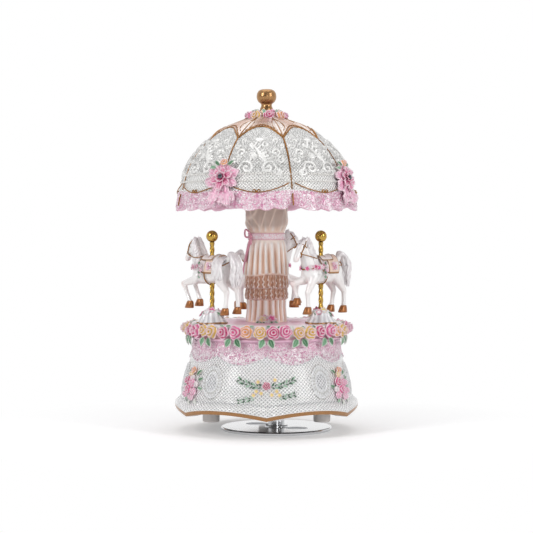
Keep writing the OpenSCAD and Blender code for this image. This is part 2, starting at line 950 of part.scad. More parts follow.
// Worm with its upright shaft
module worm() {
    length = 5;
    start = 90 - 360 * (length / 2) / worm_lead;
    color("silver")
        translate([wheel_x, worm_y, 0]) {
            translate([0, 0, bed_top + 1.2])
                cylinder(r = fine_r, h = 22);
            translate([0, 0, cyl_z - length / 2])
                linear_extrude(height = length, twist = -360 * length / worm_lead, slices = 48, $fn = 11)
                    rotate(start)
                        polygon(concat(
                            [for (a = [70 : 44 : 290]) [cos(a), sin(a)]],
                            [for (a = [-44, -22, 0, 22, 44]) 1.88 * [cos(a), sin(a)]]));
        }
}

// Air brake on the worm shaft
module fan() {
    color("gainsboro")
        translate([wheel_x, worm_y, 33.6])
            difference() {
                union() {
                    cylinder(r = 1.3, h = 5);
                    translate([-5, -0.25, 0.4])
                        cube([10, 0.5, 4.2]);
                }
                translate([0, 0, -1])
                    cylinder(r = fine_r, h = 7);
            }
}

winding_disc();
disc_hub();
winding_arbor();
great_wheel();
base_shell();
bottom_plate();
plate_screws();
feet();
bouquet_flowers();
bouquet_leaves();
platform();
garland_pink_roses();
garland_yellow_roses();
garland_leaves();
pole_mound_1();
pole_mound_2();
pole_mound_3();
pole_1();
pole_2();
pole_3();
pole_ball_1();
pole_ball_2();
pole_ball_3();
horse_1();
horse_2();
horse_3();
column();
canopy();
canopy_bows();
rhinestones();
wreath_roses();
wreath_leaves();
finial();
bedplate();
bed_screws();
spring_barrel();
barrel_cap();
mainspring();
cylinder_bracket_inner();
cylinder_bracket_outer();
comb();
comb_base();
comb_screws();
governor_frame();
tune_cylinder();
cylinder_shaft();
cylinder_pinion();
cylinder_gear();
governor_shaft();
governor_pinion();
worm_wheel();
worm();
fan();
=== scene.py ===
import math
import bmesh
import bpy
import numpy as np
from mathutils import Matrix, Vector


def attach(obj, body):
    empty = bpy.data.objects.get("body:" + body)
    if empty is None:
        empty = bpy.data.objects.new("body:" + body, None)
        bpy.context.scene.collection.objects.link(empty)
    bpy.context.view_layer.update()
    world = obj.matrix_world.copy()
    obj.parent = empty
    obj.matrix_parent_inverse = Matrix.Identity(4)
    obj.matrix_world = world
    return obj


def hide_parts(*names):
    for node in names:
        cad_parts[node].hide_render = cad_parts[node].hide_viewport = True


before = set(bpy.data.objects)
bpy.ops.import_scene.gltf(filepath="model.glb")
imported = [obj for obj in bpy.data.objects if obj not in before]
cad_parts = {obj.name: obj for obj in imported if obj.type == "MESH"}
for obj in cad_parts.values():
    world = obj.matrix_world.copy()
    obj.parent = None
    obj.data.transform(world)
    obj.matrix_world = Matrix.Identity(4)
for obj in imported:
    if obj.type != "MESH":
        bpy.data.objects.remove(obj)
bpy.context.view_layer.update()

mm = 0.001
tau = 2 * math.pi
poleAngles = (-60, 60, 180)  # degrees from the front, to the right
poleRing = 33.3  # radius of the circle of poles, mm


# Small maths

def linear(hexText):
    c = np.array([int(hexText[i:i + 2], 16) / 255 for i in (1, 3, 5)])
    return np.where(c <= 0.04045, c / 12.92, ((c + 0.055) / 1.055) ** 2.4)


def rgba(hexText):
    return (*linear(hexText), 1)


def mix(a, b, t):
    t = np.asarray(t)[..., None]
    return np.asarray(a) * (1 - t) + np.asarray(b) * t


def step(lo, hi, x):
    t = np.clip((x - lo) / (hi - lo), 0, 1)
    return t * t * (3 - 2 * t)


def hump(x, width):
    return np.exp(-(x / width) ** 2)


def stack(x, y, z):
    return np.stack(np.broadcast_arrays(x, y, z), -1)


def around(degrees, radius, z):
    a = np.radians(degrees)
    return stack(radius * np.sin(a), -radius * np.cos(a), z)


# degrees once round, as a row
def ring(cols, start=0.0):
    return (np.arange(cols) / cols * 360 + start)[None, :]


# the same in radians
def turns(cols):
    return np.arange(cols)[None, :] / cols * tau


def unit(v):
    return v / np.linalg.norm(v)


# a steady pseudo-random number for each cell
def cellNumber(i, j, k=0.0):
    return np.mod(np.sin(i * 12.9898 + j * 78.233 + k * 37.719) * 43758.5453, 1.0)


# curls of lace, one to a cell, 0 in the holes and 1 on the thread
def laceCurls(u, v, wrap):
    best = np.zeros(np.broadcast(u, v).shape)
    for du in (-1, 0, 1):
        for dv in (-1, 0, 1):
            iu, iv = np.floor(u) + du, np.floor(v) + dv
            cell = np.mod(iu, wrap)
            x = u - (iu + 0.5 + 0.5 * (cellNumber(cell, iv) - 0.5))
            y = v - (iv + 0.5 + 0.5 * (cellNumber(cell, iv, 1) - 0.5))
            d = np.hypot(x, y)
            side = np.sign(cellNumber(cell, iv, 2) - 0.5)
            curl = 0.5 + 0.5 * np.cos(tau * (2.1 * d + side * np.arctan2(y, x) / tau))
            best = np.maximum(best, curl * step(0.75, 0.45, d))
    return best


# raised curls of the lace, thicker in some patches than in others
def laceField(deg, z, count):
    turn = np.radians(deg)
    patches = 0.16 * np.sin(23 * turn + 0.9 * z) * np.sin(37 * turn - 1.3 * z)
    return laceCurls(deg / 360 * count, z / 2.7, count) + patches


# radius and height along straight runs between points, with the length along them
def spine(points, count):
    pts = np.array(points, float)
    t = np.concatenate([[0], np.cumsum(np.hypot(*np.diff(pts, axis=0).T))])
    s = np.linspace(0, t[-1], count)
    return np.stack([np.interp(s, t, pts[:, k]) for k in (0, 1)], 1), s


# the same with its corners rounded off
def profile(points, count):
    line, fine = spine(points, 600)
    soft = np.ones(25) / 25
    for k in (0, 1):
        padded = np.pad(line[:, k], 12, mode="reflect", reflect_type="odd")
        line[:, k] = np.convolve(padded, soft, "valid")
    s = np.linspace(0, fine[-1], count)
    return np.stack([np.interp(s, fine, line[:, k]) for k in (0, 1)], 1), s


# unit direction along a profile, as (n, 2)
def heading(line):
    slope = np.gradient(line, axis=0)
    return slope / np.hypot(slope[:, 0], slope[:, 1])[:, None]


# a curve through all the points
def smoothPath(points, count):
    pts = np.array(points, float)
    t = np.linspace(0, len(pts) - 1, count)
    i = np.clip(t.astype(int), 0, len(pts) - 2)
    f = (t - i)[:, None]
    p0, p1, p2 = pts[np.maximum(i - 1, 0)], pts[i], pts[i + 1]
    p3 = pts[np.minimum(i + 2, len(pts) - 1)]
    bend = (2 * p0 - 5 * p1 + 4 * p2 - p3) * f ** 2 + (3 * p1 - p0 - 3 * p2 + p3) * f ** 3
    return 0.5 * (2 * p1 + (p2 - p0) * f + bend)


# Meshes: every shape is a dictionary of points in millimetres, faces and point attributes

def grid(points, closed=True, caps=False):
    rows, cols = points.shape[:2]
    r = np.arange(rows - 1)[:, None]
    c = np.arange(cols if closed else cols - 1)[None, :]
    r1, c1 = r + 1, (c + 1) % cols
    faces = np.stack([r * cols + c, r * cols + c1, r1 * cols + c1, r1 * cols + c], -1).reshape(-1, 4).tolist()
    if caps:
        faces += [list(range(cols))[::-1], list(range((rows - 1) * cols, rows * cols))]
    return {"points": points.reshape(-1, 3), "faces": faces}


# UV cells of the net over a closed grid, each spec["cell"] mm high and 1.8 times as wide
def netCells(spec, rows, length):
    cols, cell = spec["cols"], spec["cell"]
    u = np.arange(cols + 1) / cols * round(tau * spec["girth"] / (1.8 * cell))
    v = np.linspace(0, length / cell, rows)
    corners = [np.stack(np.meshgrid(u[dc:dc + cols], v[dr:dr + rows - 1]), -1)
               for dr, dc in ((0, 0), (0, 1), (1, 1), (1, 0))]
    return np.stack(corners, 2).reshape(-1, 2)


def painted(shape, tone, gold=0.0, **more):
    return {**shape, "paint": np.reshape(tone, (-1, 3)), "gold": np.ravel(gold), **more}


def merge(shapes):
    out = {"points": np.concatenate([s["points"] for s in shapes]), "faces": []}
    base = 0
    for s in shapes:
        out["faces"] += [[i + base for i in f] for f in s["faces"]]
        base += len(s["points"])
    for key in {key for s in shapes for key in s if key not in ("points", "faces")}:
        wide = 3 if key == "paint" else 1
        values = [np.reshape(s.get(key, 0.0), (-1, wide)) for s in shapes]
        out[key] = np.concatenate([np.broadcast_to(v, (len(s["points"]), wide))
                                   for v, s in zip(values, shapes)])
    return out


def place(shape, matrix):
    m = np.array(matrix)
    return {**shape, "points": shape["points"] @ m[:3, :3].T + m[:3, 3]}


def link(name, data):
    obj = bpy.data.objects.new(name, data)
    bpy.context.scene.collection.objects.link(obj)
    return obj


# the mesh an object has after its modifiers
def evaluated(obj):
    bpy.context.view_layer.update()
    return bpy.data.meshes.new_from_object(obj.evaluated_get(bpy.context.evaluated_depsgraph_get()))


def setSmooth(mesh, smooth):
    mesh.polygons.foreach_set("use_smooth", [smooth] * len(mesh.polygons))


def toObject(name, shape, material):
    mesh = bpy.data.meshes.new(name)
    mesh.from_pydata((np.asarray(shape["points"]) * mm).tolist(), [], shape["faces"])
    count = len(mesh.vertices)
    for key, value in shape.items():
        if key == "paint":
            colour = np.ones((count, 4))
            colour[:, :3] = np.broadcast_to(np.reshape(value, (-1, 3)), (count, 3))
            mesh.attributes.new("paint", "FLOAT_COLOR", "POINT").data.foreach_set("color", colour.ravel())
        elif key == "uv":
            mesh.uv_layers.new(name="cells").data.foreach_set("uv", np.asarray(value, float).ravel())
        elif key not in ("points", "faces"):
            flat = np.broadcast_to(np.reshape(value, (-1,)), (count,)).astype(float)
            mesh.attributes.new(key, "FLOAT", "POINT").data.foreach_set("value", flat)
    work = bmesh.new()
    work.from_mesh(mesh)
    bmesh.ops.recalc_face_normals(work, faces=work.faces)
    work.to_mesh(mesh)
    work.free()
    setSmooth(mesh, True)
    mesh.materials.append(material)
    return link(name, mesh)


# every piece made here turns with the carousel
def settle(obj, nodes):
    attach(obj, "carousel")
    if nodes:
        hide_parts(*nodes)
    return obj


def piece(name, shape, material, nodes=()):
    return settle(toObject(name, shape, material), nodes)


# a round or tapering tube along points, closed at both ends
def tube(path, radius, sides=8):
    path = np.asarray(path, float)
    radius = np.broadcast_to(np.asarray(radius, float), (len(path),))
    ahead = np.roll(path, -1, 0) - np.roll(path, 1, 0)
    ahead[0], ahead[-1] = path[1] - path[0], path[-1] - path[-2]
    ahead /= np.linalg.norm(ahead, axis=1)[:, None] + 1e-12
    side = np.cross(ahead[0], [0.31, 0.17, 0.94])
    a = np.arange(sides)[:, None] / sides * tau
    rings = []
    for spot, size, way in zip(path, radius, ahead):
        side = side - way * np.dot(side, way)
        side /= np.linalg.norm(side) + 1e-12
        rings.append(spot + size * (np.cos(a) * side + np.sin(a) * np.cross(way, side)))
    return grid(np.array(rings), caps=True)


def ball(centre, radius, squash=(1, 1, 1), rows=9, cols=14):
    v, u = np.linspace(0.03, math.pi - 0.03, rows)[:, None], turns(cols)
    pts = stack(np.sin(v) * np.cos(u), np.sin(v) * np.sin(u), np.cos(v))
    return grid(pts * np.array(squash) * radius + np.array(centre), caps=True)


# Materials

# sets a node's inputs, each by a value or by a link
def feed(tree, node, inputs):
    for key, value in dict(inputs).items():
        if isinstance(value, bpy.types.NodeSocket):
            tree.links.new(value, node.inputs[key])
        else:
            node.inputs[key].default_value = value


# adds a node and returns one of its outputs, or all of them where out is None
def addNode(tree, kind, inputs=(), out=0, **settings):
    node = tree.nodes.new(kind)
    for key, value in settings.items():
        setattr(node, key, value)
    feed(tree, node, inputs)
    return node.outputs if out is None else node.outputs[out]


def newMaterial(name, **sockets):
    mat = bpy.data.materials.new(name)
    mat.use_nodes = True
    shader = mat.node_tree.nodes["Principled BSDF"]
    feed(mat.node_tree, shader, {key.replace("_", " "): value for key, value in sockets.items()})
    return mat, mat.node_tree, shader


# a soft pattern on the piece's own coordinates; size in mm
def cloudy(tree, size, detail=3.0):
    where = addNode(tree, "ShaderNodeTexCoord", out="Object")
    sockets = {"Vector": where, "Scale": 1 / (size * mm), "Detail": detail, "Roughness": 0.55}
    return addNode(tree, "ShaderNodeTexNoise", sockets, "Fac")


# the same, from one value to another
def patches(tree, size, lo, hi):
    return addNode(tree, "ShaderNodeMapRange", {"Value": cloudy(tree, size), "To Min": lo, "To Max": hi})


# colour with lighter and darker patches
def tinted(tree, shader, colour, size, lo, hi):
    sockets = {"Factor": 1.0, "A": colour, "B": patches(tree, size, lo, hi)}
    shaded = addNode(tree, "ShaderNodeMix", sockets, "Result", data_type="RGBA", blend_type="MULTIPLY")
    feed(tree, shader, {"Base Color": shaded})


# rough is (patch size, lowest, highest), grain is (size, depth, strength) of the bumps; sizes in mm
def roughen(tree, shader, rough, grain=None):
    feed(tree, shader, {"Roughness": patches(tree, *rough)})
    if grain:
        size, depth, strength = grain
        sockets = {"Height": cloudy(tree, size), "Distance": depth * mm, "Strength": strength}
        feed(tree, shader, {"Normal": addNode(tree, "ShaderNodeBump", sockets)})


def surface(name, colour, clouds, rough=None, grain=None, **sockets):
    mat, tree, shader = newMaterial(name, **sockets)
    tinted(tree, shader, rgba(colour), *clouds)
    if rough:
        roughen(tree, shader, rough, grain)
    return mat


# gold bronze paint on resin, in darker and lighter patches
def goldPaint(name, colour, dark, rough):
    return surface(name, colour, (1.2, dark, 1.1), (0.5, rough - 0.07, rough + 0.1), (0.4, 0.05, 0.5),
                   Metallic=0.85, IOR=1.5)


# plain machined metal of the movement, with a dull even shine
def workMetal(name, colour, rough):
    return surface(name, colour, (2.5, 0.85, 1.08), (0.6, rough - 0.08, rough + 0.1), (0.3, 0.02, 0.4),
                   Metallic=1.0)


# moulded plastic of the feet and the bottom plate, with a satin skin
def mouldedPlastic(name, colour, rough):
    return surface(name, colour, (4.0, 0.93, 1.05), (0.8, rough - 0.06, rough + 0.08), (0.4, 0.03, 0.5),
                   IOR=1.46)


# net: two slanting waves over the UV cells, with painted shade in the holes and painted highlight on the
# threads
def addNet(tree, paint, height):
    net = addNode(tree, "ShaderNodeAttribute", out="Fac", attribute_name="net")
    cells = addNode(tree, "ShaderNodeUVMap", uv_map="cells")
    xyz = addNode(tree, "ShaderNodeSeparateXYZ", {"Vector": cells}, None)
    waves = []
    for lean in (0.56, -0.56):
        slant = addNode(tree, "ShaderNodeMath", {0: xyz["Y"], 1: lean, 2: xyz["X"]}, operation="MULTIPLY_ADD")
        turn = addNode(tree, "ShaderNodeMath", {0: slant, 1: tau}, operation="MULTIPLY")
        waves.append(addNode(tree, "ShaderNodeMath", {0: turn}, operation="SINE"))
    knots = addNode(tree, "ShaderNodeMath", dict(enumerate(waves)), operation="MAXIMUM")
    holes = {"Value": knots, "From Min": -0.6, "To Min": -0.3, "To Max": 0.2}
    # painted light on the net: holes darkened as shade, threads lightened as highlight
    dip = addNode(tree, "ShaderNodeMapRange", holes)
    netShade = addNode(tree, "ShaderNodeMath", {0: dip, 1: net, 2: 1.0}, operation="MULTIPLY_ADD")
    paint = addNode(tree, "ShaderNodeVectorMath", {0: paint, "Scale": netShade}, operation="SCALE")
    return paint, addNode(tree, "ShaderNodeMath", {0: knots, 1: net, 2: height}, operation="MULTIPLY_ADD")


# lace: dark paint left between the threads, white where they lie thick
def addLace(tree, paint, height):
    lace = addNode(tree, "ShaderNodeAttribute", out="Fac", attribute_name="lace")
    for size, wide in ((2.3, 0.05), (1.2, 0.045)):
        wisp = addNode(tree, "ShaderNodeMath", {0: cloudy(tree, size, 1.0), 1: 0.5}, operation="SUBTRACT")
        far = addNode(tree, "ShaderNodeMath", {0: wisp}, operation="ABSOLUTE")
        gaps = {"Value": far, "From Max": wide, "To Min": 0.7, "To Max": 0.0}
        line = addNode(tree, "ShaderNodeMapRange", gaps)
        dark = addNode(tree, "ShaderNodeMath", {0: line, 1: lace}, operation="MULTIPLY")
        paint = addNode(tree, "ShaderNodeMix", {"Factor": dark, "A": paint, "B": rgba("#D4669D")}, "Result",
                        data_type="RGBA")
        height = addNode(tree, "ShaderNodeMath", {0: dark, 1: -0.6, 2: height}, operation="MULTIPLY_ADD")
    heaps = {"Value": cloudy(tree, 1.6, 2.0), "From Min": 0.54, "From Max": 0.64, "To Max": 0.7}
    thick = addNode(tree, "ShaderNodeMapRange", heaps)
    pale = addNode(tree, "ShaderNodeMath", {0: thick, 1: lace}, operation="MULTIPLY")
    paint = addNode(tree, "ShaderNodeMix", {"Factor": pale, "A": paint, "B": rgba("#FFF6FA")}, "Result",
                    data_type="RGBA")
    return paint, height


# cast resin under brushed pearl lacquer, with gold paint where the attribute gold says so
def pearlResin(name, netDepth=0.0, rough=0.34, pearl=0.16):
    mat, tree, shader = newMaterial(name, IOR=1.5, Coat_Weight=0.35, Coat_Roughness=0.14)
    paint = addNode(tree, "ShaderNodeAttribute", out="Color", attribute_name="paint")
    gilt = addNode(tree, "ShaderNodeAttribute", out="Fac", attribute_name="gold")
    grain = cloudy(tree, 0.35, 2.0)
    ranges = ((gilt, pearl, 0.95), (grain, rough - 0.1, rough + 0.12), (grain, 0.0, 0.25))
    metal, matt, height = (addNode(tree, "ShaderNodeMapRange", {"Value": value, "To Min": lo, "To Max": hi})
                           for value, lo, hi in ranges)
    if netDepth:
        paint, height = addNet(tree, paint, height)
        paint, height = addLace(tree, paint, height)
    tinted(tree, shader, paint, 2.2, 0.93, 1.05)
    sockets = {"Height": height, "Distance": (netDepth or 0.08) * mm, "Strength": 0.8}
    relief = addNode(tree, "ShaderNodeBump", sockets)
    feed(tree, shader, {"Metallic": metal, "Roughness": matt, "Normal": relief})
    return mat


# hand-painted resin petals and leaves: tint in the hollows, brushed pale along the edges
def brushedFlower(name, pale, rough=0.38):
    mat, tree, shader = newMaterial(name, IOR=1.5, Coat_Weight=0.2, Coat_Roughness=0.2)
    tint = addNode(tree, "ShaderNodeAttribute", out="Color", attribute_name="tint")
    edge = addNode(tree, "ShaderNodeAttribute", out="Fac", attribute_name="edge")
    both = addNode(tree, "ShaderNodeMix", {"Factor": edge, "A": tint, "B": rgba(pale)}, "Result",
                   data_type="RGBA")
    tinted(tree, shader, both, 1.0, 0.86, 1.08)
    roughen(tree, shader, (0.5, rough - 0.1, rough + 0.12), (0.3, 0.05, 0.6))
    return mat


gold = goldPaint("gold paint", "#A4733F", 0.62, 0.33)
finialGold = goldPaint("finial gold", "#AC8359", 0.9, 0.27)
# polished brass plating, bright and a little cloudy
brass = surface("pole brass", "#BF9C4E", (3.0, 0.9, 1.05), (1.5, 0.1, 0.2), Metallic=1.0)
# chromium plating over turned steel, a mirror with a faint ripple
chrome = surface("chrome plate", "#D9DADC", (6.0, 0.94, 1.03), (2.0, 0.08, 0.18), (3.0, 0.01, 0.1),
                 Metallic=1.0)
steel = workMetal("movement steel", "#A9ABAF", 0.3)
yellowBrass = workMetal("movement brass", "#C79C4B", 0.28)
castMetal = workMetal("movement casting", "#B4B5B8", 0.42)
footPlastic = mouldedPlastic("foot plastic", "#EFEAE7", 0.42)
platePlastic = mouldedPlastic("plate plastic", "#4A4746", 0.5)
baseResin = pearlResin("base resin", 0.5, 0.24, 0.3)
canopyResin = pearlResin("canopy resin", 0.4, 0.26, 0.26)
columnResin = pearlResin("column resin", 0.0, 0.42)
horseResin = pearlResin("horse resin", 0.0, 0.36)
mixedResin = pearlResin("mixed resin", 0.0, 0.4)
petalPaint = brushedFlower("petal paint", "#FBE3EC")
leafPaint = brushedFlower("leaf paint", "#DDE7DA")
# foil-backed glass, dark with sharp bright facets
stone = surface("rhinestone", "#55565E", (0.7, 0.35, 1.6), Metallic=0.9, Roughness=0.06, Coat_Weight=1.0)
# glossy dark enamel dot
eye = surface("eye enamel", "#1B1614", (0.4, 0.8, 1.2), (0.3, 0.1, 0.2), Coat_Weight=0.8)

white = linear("#F4F4F6")
greyWhite = linear("#CDCED3")
hemPink = linear("#F2BBD5")
deepPink = linear("#D2699F")
palePink = linear("#FBF1F5")
goldTint = linear("#A2764B")
print("materials made")


# Geometry Nodes: sets one item on many points, each with its own turn, size and tint

def scatterTree(name):
    tree = bpy.data.node_groups.new(name, "GeometryNodeTree")
    for socket, kind in (("Geometry", "Geometry"), ("Item", "Object"), ("Material", "Material")):
        tree.interface.new_socket(socket, in_out="INPUT", socket_type="NodeSocket" + kind)
    tree.interface.new_socket("Geometry", in_out="OUTPUT", socket_type="NodeSocketGeometry")
    given = addNode(tree, "NodeGroupInput", out=None)
    item = addNode(tree, "GeometryNodeObjectInfo", {"Object": given["Item"]}, "Geometry")
    turn, size = (addNode(tree, "GeometryNodeInputNamedAttribute", {"Name": key}, data_type=kind)
                  for key, kind in (("turn", "FLOAT_VECTOR"), ("size", "FLOAT")))
    facing = addNode(tree, "FunctionNodeEulerToRotation", {0: turn})
    sown = addNode(tree, "GeometryNodeInstanceOnPoints", {
        "Points": given["Geometry"], "Instance": item, "Rotation": facing, "Scale": size})
    real = addNode(tree, "GeometryNodeRealizeInstances", {"Geometry": sown})
    dressed = addNode(tree, "GeometryNodeSetMaterial", {"Geometry": real, "Material": given["Material"]})
    addNode(tree, "NodeGroupOutput", {"Geometry": dressed}, None)
    return tree


scatterNodes = scatterTree("set items on points")


# spots is a list of (point in mm, facing direction, roll in degrees, size in mm, tint)
def scatter(name, item, spots, material, nodes=()):
    mesh = bpy.data.meshes.new(name + " points")
    mesh.from_pydata([tuple(np.asarray(s[0]) * mm) for s in spots], [], [])
    turn, size, tint = [], [], []
    for _, facing, roll, big, colour in spots:
        face = Vector(facing).to_track_quat("Z", "Y").to_matrix()
        turn += list((face @ Matrix.Rotation(math.radians(roll), 3, "Z")).to_euler())
        size.append(big * mm)
        tint += [*colour, 1.0]
    for key, kind, field, values in (
            ("turn", "FLOAT_VECTOR", "vector", turn), ("size", "FLOAT", "value", size),
            ("tint", "FLOAT_COLOR", "color", tint)):
        mesh.attributes.new(key, kind, "POINT").data.foreach_set(field, values)
    obj = link(name, mesh)
    mod = obj.modifiers.new("scatter", "NODES")
    mod.node_group = scatterNodes
    ids = {s.name: s.identifier for s in scatterNodes.interface.items_tree if s.in_out == "INPUT"}
    mod[ids["Item"]] = item
    mod[ids["Material"]] = material
    solid = evaluated(obj)
    obj.modifiers.remove(mod)
    obj.data = solid
    setSmooth(solid, True)
    return settle(obj, nodes)


items = []


# an item is one unit in radius, opening along +Z, and is thrown away at the end
def makeItem(name, shape, material):
    obj = toObject(name, {**shape, "points": shape["points"] / mm}, material)
    items.append(obj)
    return obj


# rings of petals, each standing proud of the next; pale at the rims
def roseShape():
    rows, cols = 21, 45
    a = turns(cols)
    rims = [0 * a]
    for far, petals, turn in ((0.36, 2, 0.3), (0.7, 3, 1.2), (1.0, 5, 0.4)):
        rims.append(far * (0.8 + 0.2 * np.abs(np.cos(petals * (a - turn) / 2))))
    r = np.linspace(0.03, 1.0, rows)[:, None] * rims[-1]
    lift = np.zeros((rows, cols))
    for low, high in zip(rims, rims[1:]):
        lift = np.where(r > low, np.clip((r - low) / (high - low), 0, 1), lift)
    z = 0.95 * (1 - (r / rims[-1]) ** 2.4) ** 0.8 - 0.05 + 0.42 * (lift ** 1.6 - 0.4)
    pts = stack(r * np.cos(a), r * np.sin(a), z)
    back = pts[-1:] * np.array([0.6, 0.6, 0]) + np.array([0, 0, -0.35])
    edge = np.concatenate([0.95 * step(0.3, 0.85, lift), np.zeros((1, cols))])
    return {**grid(np.concatenate([pts, back]), caps=True), "edge": edge.reshape(-1)}


# a thin blade growing along +Y, given by its top side
def bladeShape(top, thick, edge):
    under = top - np.array([0, 0, thick])
    shape = grid(np.concatenate([top, under[:, ::-1]], 1))
    return {**shape, "edge": np.concatenate([edge, edge[:, ::-1]], 1).reshape(-1)}


def leafShape(width=0.46, points=3, rim=0.45):
    t, u = np.linspace(0, 1, 15)[:, None], np.linspace(-1, 1, 9)[None, :]
    far = np.abs(u)
    half = width * np.sin(math.pi * t ** 0.75) * (1 + 0.16 * np.abs(np.sin(points * math.pi * t)))
    z = 0.2 * far * half / width - 0.28 * t ** 2 + 0.05 * np.sin(9 * t + 3 * far) * far + 0.2
    edge = step(rim, rim + 0.5, far) + step(0.8, 1.0, t) * (rim < 0.6) + 0.25 * hump(u, 0.12)
    return bladeShape(stack(half * u, 2 * t, z), 0.16, np.clip(edge, 0, 1))


# a long petal with ruffled edges
def petalShape(width=0.74):
    t, u = np.linspace(0, 1, 18)[:, None], np.linspace(-1, 1, 15)[None, :]
    half = width * np.sin(math.pi * (0.06 + 0.87 * t)) ** 0.7 * (1 + 0.06 * np.sin(19 * t))
    frill = 0.2 * np.abs(u) ** 1.6 * np.sin(14 * t + 1.6 * np.sign(u))
    z = 0.5 * np.sin(1.9 * t) + frill + 0.1 * t ** 2 * np.cos(7 * u)
    streaks = (0.5 + 0.5 * np.cos(11 * u + 2 * t)) * step(0.15, 0.6, t)
    edge = np.clip(step(0.5, 1.0, np.abs(u)) + step(0.7, 1.0, t) + 0.6 * streaks, 0, 1) * 0.95
    return bladeShape(stack(half * u, 2 * t + 0.1 * t * np.cos(9 * u), z), 0.14, edge)


# a round flower with a thin underside, given by its reach and height
def cupShape(a, reach, z, inset, thick, edge, underEdge):
    top = stack(reach * np.cos(a), reach * np.sin(a), z)
    under = top[::-1] * np.array([inset, inset, 1]) - np.array([0, 0, thick])
    edges = np.concatenate([edge + 0 * a, np.full(top.shape[:2], underEdge)])
    return {**grid(np.concatenate([top, under]), caps=True), "edge": edges.reshape(-1)}


def blossomShape(petals=5, cup=0.3):
    r, a = np.linspace(0.0, 1.0, 8)[:, None], turns(8 * petals)
    wave = np.abs(np.cos(petals * a / 2))
    reach = 0.08 + r * (0.5 + 0.45 * wave ** 0.6)
    return cupShape(a, reach, cup * r ** 1.4 + 0.1 * wave * r, 0.96, 0.16, step(0.4, 1, r) * 0.8, 0.3)


def ruffleShape(lobes=6):
    r, a = np.linspace(0, 1, 11)[:, None], turns(96)
    reach = 0.06 + r * (0.8 + 0.14 * np.abs(np.cos(lobes * a / 2)) ** 0.5)
    z = 0.5 * r ** 1.5 + 0.17 * r ** 2 * np.sin(1.5 * lobes * a) + 0.06 * r * np.sin(lobes * a + 2)
    return cupShape(a, reach, z, 0.97, 0.14, step(0.45, 0.95, r) * 0.95, 0.55)


roseItem = makeItem("rose item", roseShape(), petalPaint)
leafItem = makeItem("leaf item", leafShape(), leafPaint)
broadLeafItem = makeItem("broad leaf item", leafShape(0.66, 4), leafPaint)
slimLeafItem = makeItem("slim leaf item", leafShape(0.3, 1, 0.75), leafPaint)
blossomItem = makeItem("blossom item", blossomShape(), petalPaint)
ruffleItem = makeItem("ruffle item", ruffleShape(), petalPaint)
petalItem = makeItem("petal item", petalShape(), petalPaint)
beadItem = makeItem("bead item", {**ball((0, 0, 0), 1, rows=5, cols=8), "edge": 0.0}, mixedResin)

pinkTint = linear("#CB2C72")
rosePink = linear("#DB5490")
yellowTint = linear("#DDB443")
orangeTint = linear("#E79E4A")
greenTint = linear("#2F7344")
paleGreen = linear("#7FA98A")
darkGreen = linear("#1D5A35")
mintTint = linear("#A9CBB2")
whiteTint = linear("#EFEDEA")
creamTint = linear("#EED789")


# Stage, camera and light

# white paper that keeps only the shadow close to the part
def makeStage():
    floorSpec = {"radius": 3.0, "colour": "#F6F6F7", "shadowEnds": (0.06, 0.17), "glow": 0.3}
    mat, tree, shader = newMaterial("floor paint", Roughness=0.8)
    tinted(tree, shader, rgba(floorSpec["colour"]), 900, 0.99, 1.0)
    where = addNode(tree, "ShaderNodeTexCoord", out="Object")
    away = addNode(tree, "ShaderNodeVectorMath", {0: where}, "Value", operation="LENGTH")
    near, far = floorSpec["shadowEnds"]
    fade = addNode(tree, "ShaderNodeMapRange", {"Value": away, "From Min": near, "From Max": far})
    paint = shader.outputs[0]
    glow, paper = (addNode(tree, "ShaderNodeEmission", {"Color": (1, 1, 1, 1), "Strength": strength})
                   for strength in (floorSpec["glow"], 1.0))
    lit = addNode(tree, "ShaderNodeAddShader", {0: paint, 1: glow})
    seen = addNode(tree, "ShaderNodeMixShader", {0: fade, 1: lit, 2: paper})
    path = addNode(tree, "ShaderNodeLightPath", out=None)
    rays = {0: path["Is Camera Ray"], 1: path["Is Glossy Ray"]}
    shown = addNode(tree, "ShaderNodeMath", rays, operation="MAXIMUM")
    both = addNode(tree, "ShaderNodeMixShader", {0: shown, 1: paint, 2: seen})
    feed(tree, tree.nodes["Material Output"], {"Surface": both})
    mesh = bpy.data.meshes.new("floor")
    work = bmesh.new()
    bmesh.ops.create_circle(work, cap_ends=True, segments=96, radius=floorSpec["radius"])
    work.to_mesh(mesh)
    work.free()
    mesh.materials.append(mat)
    floor = link("floor", mesh)


def makeCamera():
    lensSpec = {"height": 115.0, "distance": 920.0, "lens": 115.1, "aim": 88.3}
    data = bpy.data.cameras.new("camera")
    data.sensor_width = 36
    data.lens = lensSpec["lens"]
    data.clip_start = 0.01
    cam = link("camera", data)
    cam.location = (0, -lensSpec["distance"] * mm, lensSpec["height"] * mm)
    down = math.atan2(lensSpec["height"] - lensSpec["aim"], lensSpec["distance"])
    cam.rotation_euler = (math.radians(90) - down, 0, 0)
    bpy.context.scene.camera = cam


def softBox(name, spot, target, size, power):
    data = bpy.data.lights.new(name, "AREA")
    data.shape = "RECTANGLE"
    data.size, data.size_y = size
    data.energy = power
    light = link(name, data)
    light.location = spot
    light.rotation_euler = (Vector(target) - Vector(spot)).to_track_quat("-Z", "Y").to_euler()


